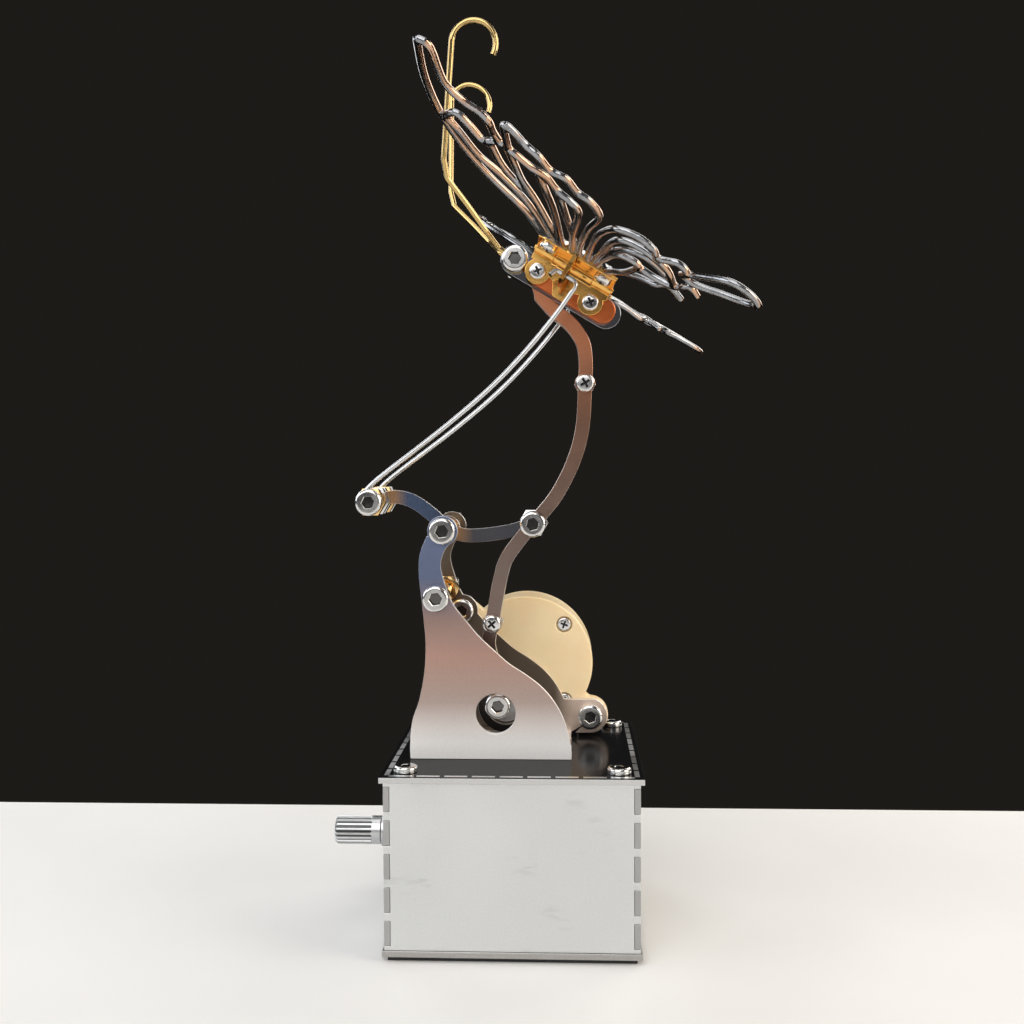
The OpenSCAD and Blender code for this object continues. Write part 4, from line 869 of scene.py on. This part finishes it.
# Curved arm: two bars of plate with spacers between them, from the eccentric's strap up to the body plate.
# The steel's colour is painted reflection, brown-grey below and copper-brown above, with painted shade on the
# strap at its foot, and the body plate is polished like a mirror.
body_place, body_tilt = (12.45, 136.8), math.radians(31.1)
tilt_cos, tilt_sin = math.cos(body_tilt), math.sin(body_tilt)
arm_bottom, arm_top, body_edge, mirror_rough = 45.0, 135.0, -7.15, 0.06
strap_painted_shade, arm_low = (0.05, 0.045, 0.042), (0.27, 0.204, 0.178)
arm_middle, arm_high, mirror_tone = (0.31, 0.18, 0.127), (0.50, 0.20, 0.105), (0.34, 0.35, 0.37)
screw_low, screw_high, joint = (-5.0, 63.3), (14.75, 113.8), (3.7, 84.35)
# Painted shade on the strap at the foot, then painted reflection up the arm.
arm_steel, tree, shader, place, colour = light_painted_steel(
    "arm_steel", ((0.0, strap_painted_shade), (0.09, strap_painted_shade), (0.16, arm_low), (0.35, arm_low), (0.65, arm_middle),
                  (0.86, arm_high)), arm_bottom, arm_top, rough=ground)
spot = apart(tree, place)
centre = -body_place[0] * mm * tilt_sin - body_place[1] * mm * tilt_cos
over = calc(tree, "MULTIPLY_ADD", spot["X"], tilt_sin, centre)
over = calc(tree, "MULTIPLY_ADD", spot["Z"], tilt_cos, over)
on_body = calc(tree, "GREATER_THAN", over, body_edge * mm)
toned(tree, shader, on_body, colour, mirror_tone)
rough_source = shader.inputs["Roughness"].links[0].from_socket
sheen = first(tree, "ShaderNodeMix", {0: on_body, 2: rough_source, 3: mirror_rough}, data_type="FLOAT")
feed(tree, sheen, shader.inputs["Roughness"])
show_cuts(softened("coupler_front", arm_steel, plate_edge))
show_cuts(softened("coupler_rear", arm_steel, plate_edge))
softened("coupler_spacers", nickel, 0.1)
softened("joint_washers", nickel, 0.08)
fasten("coupler_screws_set", "coupler", ("coupler_screws",), pan_head("arm_pan", 1.95, 1.4),
       [(p[0], -2.2, p[1], front, r) for p, r in ((screw_low, 40), (screw_high, 30))], nickel,
       (1.0, 6.6, 0.4), recess)
fasten("coupler_nuts_set", "coupler", ("coupler_screw_nuts",), hex_nut("m2_nut", 4.0, 1.6, 1.05),
       [nut_at(p, 2.2, height=1.6) for p in (screw_low, screw_high)], nickel)
m3_bolts("joint_bolt_set", "coupler", "joint_bolt", (joint,), -2.2, 15, 7.2)


# Body: a mirror-bright core plate with a rounded copper thorax bar on each side, all held by the head bolt.
# The head bolt also clamps the antennae's eyes, one on each side.
copper_dark, copper_light = (0.50, 0.12, 0.036), (0.62, 0.17, 0.056)
mirror_dark, mirror_light = (0.50, 0.51, 0.53), (0.60, 0.61, 0.63)


def body_point(u, y, w):
    """A point of the butterfly's own frame: u towards the tail, w away from the belly."""
    return (body_place[0] + u * tilt_cos + w * tilt_sin, y, body_place[1] - u * tilt_sin + w * tilt_cos)


head_x, head_y, head_z = body_point(-11.8, 3.6, -4.0)
mirror = finish("mirror_plate", mirror_dark, mirror_light, (0.03, 0.09), relief=0.001)[0]
copper = finish("copper_bar", copper_dark, copper_light, (0.285, 0.36), scale=1400.0, stretch=(0.3, 1, 1))[0]
softened("body_core", mirror, 0.12)
softened("thorax_bars", copper, 0.3)
m3_bolts("head_bolt_set", "coupler", "head_bolt", ((head_x, head_z),), -head_y, 0, 10.0)
fasten("body_nuts_set", "coupler", ("body_nuts",), m3_nut,
       [nut_at(joint, 2.2), nut_at((head_x, head_z), head_y, 30 - math.degrees(body_tilt))], nickel)


# Antennae: brass-coloured wire, bent by hand, each with an eye on the head bolt and a hook at its tip.
# The far one is the near one's mirror image, bent a little further forward.
antenna_radius, antenna_bend, hook_radius, stalk_z, far_lean = 0.55, 0.8, 4.3, 144.8, 0.11
gold_dark, gold_light = (0.56, 0.39, 0.155), (0.64, 0.46, 0.20)
gold_wire = finish("gold_wire", gold_dark, gold_light, (0.15, 0.25), scale=1300.0, relief=0.001)[0]
eye_start, eye_radius = math.atan2(1.32, -1.76), 2.2
eye = [around((head_x, head_z), eye_radius, -2.9, eye_start + math.radians(a)) for a in range(20, 361, 20)]
stalk = [(head_x - 3.45, -3.1, head_z + 2.4), (-5.6, -6.7, stalk_z), (-9, -9.7, 149.3), (-12.8, -13, 154),
         (-13.3, -14.4, 157.5)]
hook = [(-6.9 + hook_radius * math.cos(math.radians(a)), -19.3 - 0.4 * math.sin(math.radians(a)),
         178.2 + hook_radius * math.sin(math.radians(a))) for a in range(170, -31, -10)]
near_antenna = eye + stalk + hook
far_antenna = [(x - far_lean * max(z - stalk_z, 0), -y, z) for x, y, z in near_antenna]
antennae = wire("antennae_wire", [near_antenna, far_antenna], antenna_radius, antenna_bend, gold_wire)
carry(antennae, "coupler", "gold_hinge", "antennae")


# Hinges: pressed brass leaves, gold-coloured, rolled into knuckles round a pin.
# A fixed leaf is screwed to each thorax bar, and a moving leaf lies under the root of each wing.
leaf_dark, leaf_light = (0.80, 0.43, 0.105), (0.91, 0.535, 0.16)
hinge_gold = finish("hinge_gold", leaf_dark, leaf_light, (0.11, 0.21), scale=1100.0, stretch=(0.35, 1, 1),
                    relief=0.003)[0]
for node in ("fixed_leaves", "near_wing_leaf", "far_wing_leaf"):
    softened(node, hinge_gold, 0.12)
softened("hinge_pins", hinge_gold, 0.08)
leaf_places = [(*body_point(u, 5.4 * side, -4.0), (0, side, 0), 20) for side in (-1, 1) for u in (-6.3, 6.3)]
fasten("leaf_screws_set", "coupler", ("leaf_screws",), pan_head("leaf_pan", 1.75, 1.0), leaf_places, nickel,
       thread_finish=recess)


# Wings: cast lattices of rounded strands, dark gunmetal with a patchy painted copper reflection on one side of
# the strands.
# Each has a flat root on its hinge leaf, two screws from below, and a slotted horn for the push rod's end.
strand_radius, voxel = 0.74, 0.24
dihedral, hinge_out = math.radians(9.0), 6.4
strands = [
    [(-6, 5), (-8.5, 12), (-12.9, 18.4), (-22, 26.1), (-29.1, 36.8), (-33, 49), (-34.1, 62)],
    [(-34.1, 62), (-31.9, 61.6), (-29.4, 53.3), (-26.3, 50), (-22.9, 49.1), (-20.9, 48), (-20.1, 44.2),
     (-18.8, 41.5)],
    [(-29.4, 40.5), (-27.5, 43), (-24.8, 42), (-22, 39.5), (-20.6, 40.6)],
    [(-20.6, 40.6), (-18, 34.2), (-15.2, 30.5), (-11, 26.5), (-6, 14), (-4, 5)],
    [(-29.4, 40.5), (-26.8, 37.5), (-22.7, 31.7), (-18.5, 28.2), (-12.3, 22), (-7.6, 13), (-5, 5)],
    [(-20.6, 40.6), (-18.8, 41.5), (-17.4, 41.2), (-16.1, 37.7), (-13.7, 31.5), (-10.4, 26), (-5.5, 15),
     (-2.5, 5)],
    [(-17.4, 41.2), (-15.7, 41.7), (-12.4, 39.9), (-9.5, 38.7), (-7, 35.6), (-4.1, 34.8), (-1.9, 31.9),
     (-1.9, 20), (-1, 5)],
    [(-16.9, 41.5), (-17.9, 48.1), (-18.1, 50.2)],
    [(-18.1, 50.2), (-16.3, 48.8), (-13.9, 46.5), (-11.2, 46.2), (-8.7, 43.5), (-5.7, 43.1), (-3.2, 40),
     (-0.7, 39.2), (1.8, 35.3), (0.6, 27), (0, 16), (0.5, 5)],
    [(-10.7, 38.5), (-8.7, 33.6), (-6.6, 25), (-3.5, 11)],
    [(-6.4, 35), (-4.6, 29), (-1.9, 19)],
    [(2, 5), (2, 14), (2.4, 24), (3.5, 30), (5.6, 35.5), (9.7, 36.5), (12.9, 36), (14.4, 33.4), (17.7, 35),
     (19.9, 34.1), (19.3, 31.2)],
    [(3, 5), (4.5, 20), (6.4, 30), (10.5, 32.1), (14.6, 32.1), (17, 30.2), (18.7, 26.2), (19.4, 24.4)],
    [(3.5, 5), (5, 16), (7.4, 25.5), (11.9, 29.5), (16, 28), (18.7, 26.2)],
    [(5, 16), (7.4, 23.4), (11.7, 24.7), (10, 17.5), (7.2, 12.5), (4.5, 5)],
    [(19.3, 31.2), (23.2, 36.2), (27.4, 40.8), (31.4, 40.6), (33.4, 38.2), (31.6, 35.4), (27.2, 32.9),
     (22.3, 30.9), (19.3, 31.2)],
    [(5.8, 5), (8.3, 13.6), (12.8, 17.8), (16.3, 20.2), (18.2, 22.1), (21.8, 19.3)],
    [(11.2, 23.5), (15, 23), (19.4, 24.4), (21.8, 27.4), (24, 24.9)],
]
steel_dark, steel_light, copper_reflection = (0.22, 0.225, 0.235), (0.44, 0.45, 0.47), (0.66, 0.40, 0.25)
strand_z, strand_step, strand_flat, root_lift, lift_start, lift_end = -0.45, 0.7, 0.9, 2.05, 11.5, 6.7
root_low, root_high = (-8.4, -7.2, 1.05), (8.4, -2.1, 2.15)
horn_bars = (((-8.75, -2.45), (-3.05, 0.4)), ((-7.0, 0.3), (-3.05, 1.6)), ((-8.75, -5.65), (-3.05, -4.8)),
             ((-8.75, -4.8), (-7.9, -2.45)), ((-4.0, -4.8), (-3.05, -2.45)))
reflection_way, far_reflection_less = Vector((0.85, 0.0, -0.5)).normalized(), 0.3

lattice, entry, leave = geometry_tree(
    "cast_strands", Geometry=("Paths",), Float=("Radius", "Step"), Material=("Finish",))
run = first(lattice, "GeometryNodeMeshToCurve", {0: entry["Paths"]})
run = first(lattice, "GeometryNodeCurveSplineType", {"Curve": run}, spline_type="CATMULL_ROM")
run = evened(lattice, run, entry["Step"])
dressed(lattice, swept(lattice, run, entry["Radius"], 14), entry["Finish"], leave)

gunmetal, tree, shader, place, colour = finish(
    "gunmetal_painted_reflection", steel_dark, steel_light, (0.13, 0.24), scale=400.0, marks=120.0, relief=0.004)
# Painted reflection: copper on the side of each strand that faces one way, broken up by noise.
patch = calc(tree, "MULTIPLY_ADD", noise(tree, place, 110.0), 1.6, mark(tree, "copper_reflection_share"))
toned(tree, shader, ranged(tree, patch, 1.10, 1.45, 0.0, 0.9, smooth=True), colour, copper_reflection)


def box_mesh(into, low, high):
    size = [b - a for a, b in zip(low, high)]
    middle = [(a + b) / 2 for a, b in zip(low, high)]
    bmesh.ops.create_cube(into, size=1.0, matrix=Matrix.Translation(middle) @ Matrix.Diagonal((*size, 1.0)))


def wave(u, s):
    """How far a strand bows up or down, clear of the root."""
    return 0.28 * math.sin(0.55 * s + 0.8 * u) if s > 9 else 0.0


paths = strung("strand_paths", [[(u, -s, strand_z + wave(u, s)) for u, s in strand] for strand in strands])
values = {"Radius": strand_radius, "Step": strand_step, "Finish": gunmetal}
strand_piece = made("strand_sweeps", lattice, paths, values)
cast = bmesh.new()
cast.from_mesh(strand_piece.data)
bpy.data.objects.remove(strand_piece)
for v in cast.verts:
    share = min(max((lift_start + v.co.y) / (lift_start - lift_end), 0.0), 1.0)
    v.co.z = strand_z + (v.co.z - strand_z) * strand_flat + root_lift * share * share * (3 - 2 * share)
box_mesh(cast, root_low, root_high)
cast_mesh = bpy.data.meshes.new("wing_cast")
cast.to_mesh(cast_mesh)
cast.free()
cast_mesh.materials.append(gunmetal)
wing_form = shown("wing_form", cast_mesh)
fuse = wing_form.modifiers.new("fuse", "REMESH")
fuse.mode = "VOXEL"
fuse.voxel_size = voxel
ease = wing_form.modifiers.new("ease", "SMOOTH")
ease.factor = 0.5
ease.iterations = 4
wing_form = baked(wing_form, "wing_form_cast")
middle = Matrix.Translation(Vector((body_place[0], 0, body_place[1])) * mm)
wing_place = (middle @ Matrix.Rotation(body_tilt, 4, "Y") @ Matrix.Translation((0, -hinge_out * mm, 0))
              @ Matrix.Rotation(-dihedral, 4, "X") @ Matrix.Scale(mm, 4))
wing_pan = pan_head("wing_pan", 1.8, 1.1)
horn_form = bmesh.new()
for low, high in horn_bars:
    box_mesh(horn_form, (-0.92, *low), (-0.08, *high))


def on_wing(name, mesh, material, mirrored):
    """A form of the wing's own frame (mm), in its place on one side."""
    mesh.transform(wing_place)
    if mirrored:
        mesh.transform(Matrix.Scale(-1, 4, (0, 1, 0)))
        mesh.flip_normals()
    mesh.materials.clear()
    mesh.materials.append(material)
    return shown(name, mesh)


for label, flip in (("near", 1), ("far", -1)):
    wing = on_wing(label + "_wing_cast", wing_form.data.copy(), gunmetal, flip < 0)
    wing.data.shade_smooth()
    # How far each point faces the painted copper reflection, less on the far wing.
    reflection_shares = [v.normal.dot(reflection_way) - (far_reflection_less if flip < 0 else 0.0) for v in wing.data.vertices]
    wing.data.attributes.new("copper_reflection_share", "FLOAT", "POINT").data.foreach_set("value", reflection_shares)
    carry(wing, "wing_" + label, "wing_metal", label + "_wing")
    horn_mesh = bpy.data.meshes.new(label + "_horn")
    horn_form.to_mesh(horn_mesh)
    horn = on_wing(label + "_wing_horn", horn_mesh, hinge_gold, flip < 0)
    carry(horn, "wing_" + label, "gold_hinge", label + "_wing")
    below = (wing_place.to_3x3() @ Vector((0, 0, -1))).normalized()
    screw_places = []
    for u in (-6.3, 6.3):
        spot = wing_place @ Vector((u, -4.2, 0.2)) / mm
        screw_places.append((spot.x, spot.y * flip, spot.z, (below.x, below.y * flip, below.z), 30))
    fasten(label + "_wing_screws_set", "wing_" + label, (label + "_wing_screws",), wing_pan, screw_places,
           nickel, thread_finish=recess)
bpy.data.objects.remove(wing_form)
horn_form.free()


# Push rods: two thin bright steel wires, one each side, with an eye on the rocker's long bolt.
# The upper end is bent over twice, and its stub lies in the slot of the wing's horn.
rod_radius, rod_bend, rod_plane = 0.5, 0.9, 9.5
wire_dark, wire_light = (0.58, 0.585, 0.59), (0.66, 0.665, 0.67)
wire_bright = finish("bright_wire", wire_dark, wire_light, (0.15, 0.25), scale=1300.0, relief=0.001)[0]
rod_leave, rod_eye = math.radians(130.0), 2.05


def eased(points, steps=6):
    """The points with a smooth curve between them."""
    ends = [points[0]] + list(points) + [points[-1]]
    path = []
    for a, b, c, d in zip(ends, ends[1:], ends[2:], ends[3:]):
        for t in (i / steps for i in range(steps)):
            path.append(tuple(
                q + 0.5 * t * (r - p + t * (2 * p - 5 * q + 4 * r - s + t * (3 * (q - r) + s - p)))
                for p, q, r, s in zip(a, b, c, d)))
    return path + [points[-1]]


for label, side in (("near", 1), ("far", -1)):
    eye = [around(rod_pin, rod_eye, -rod_plane, rod_leave - math.radians(a)) for a in range(20, 361, 20)]
    shank = eased([eye[-1], (rod_pin[0] + 2, -rod_plane, rod_pin[1] + 4.9), (-14.9, -10.2, 103.8),
                   (-5, -10.7, 112), (2.2, -11.1, 119.2), (8.5, -11.6, 126.6), body_point(2.5, -12.30, -3.71)])
    hooked = [body_point(1.9, -12.30, -2.71), body_point(-2.6, -12.30, -2.71), body_point(-3, -12.70, -4.31)]
    route = [(x, y * side, z) for x, y, z in eye[:-1] + shank + hooked]
    rod = wire(label + "_pushrod_wire", [route], rod_radius, rod_bend, wire_bright)
    carry(rod, "rod_" + label, "wire_steel", label + "_pushrod")
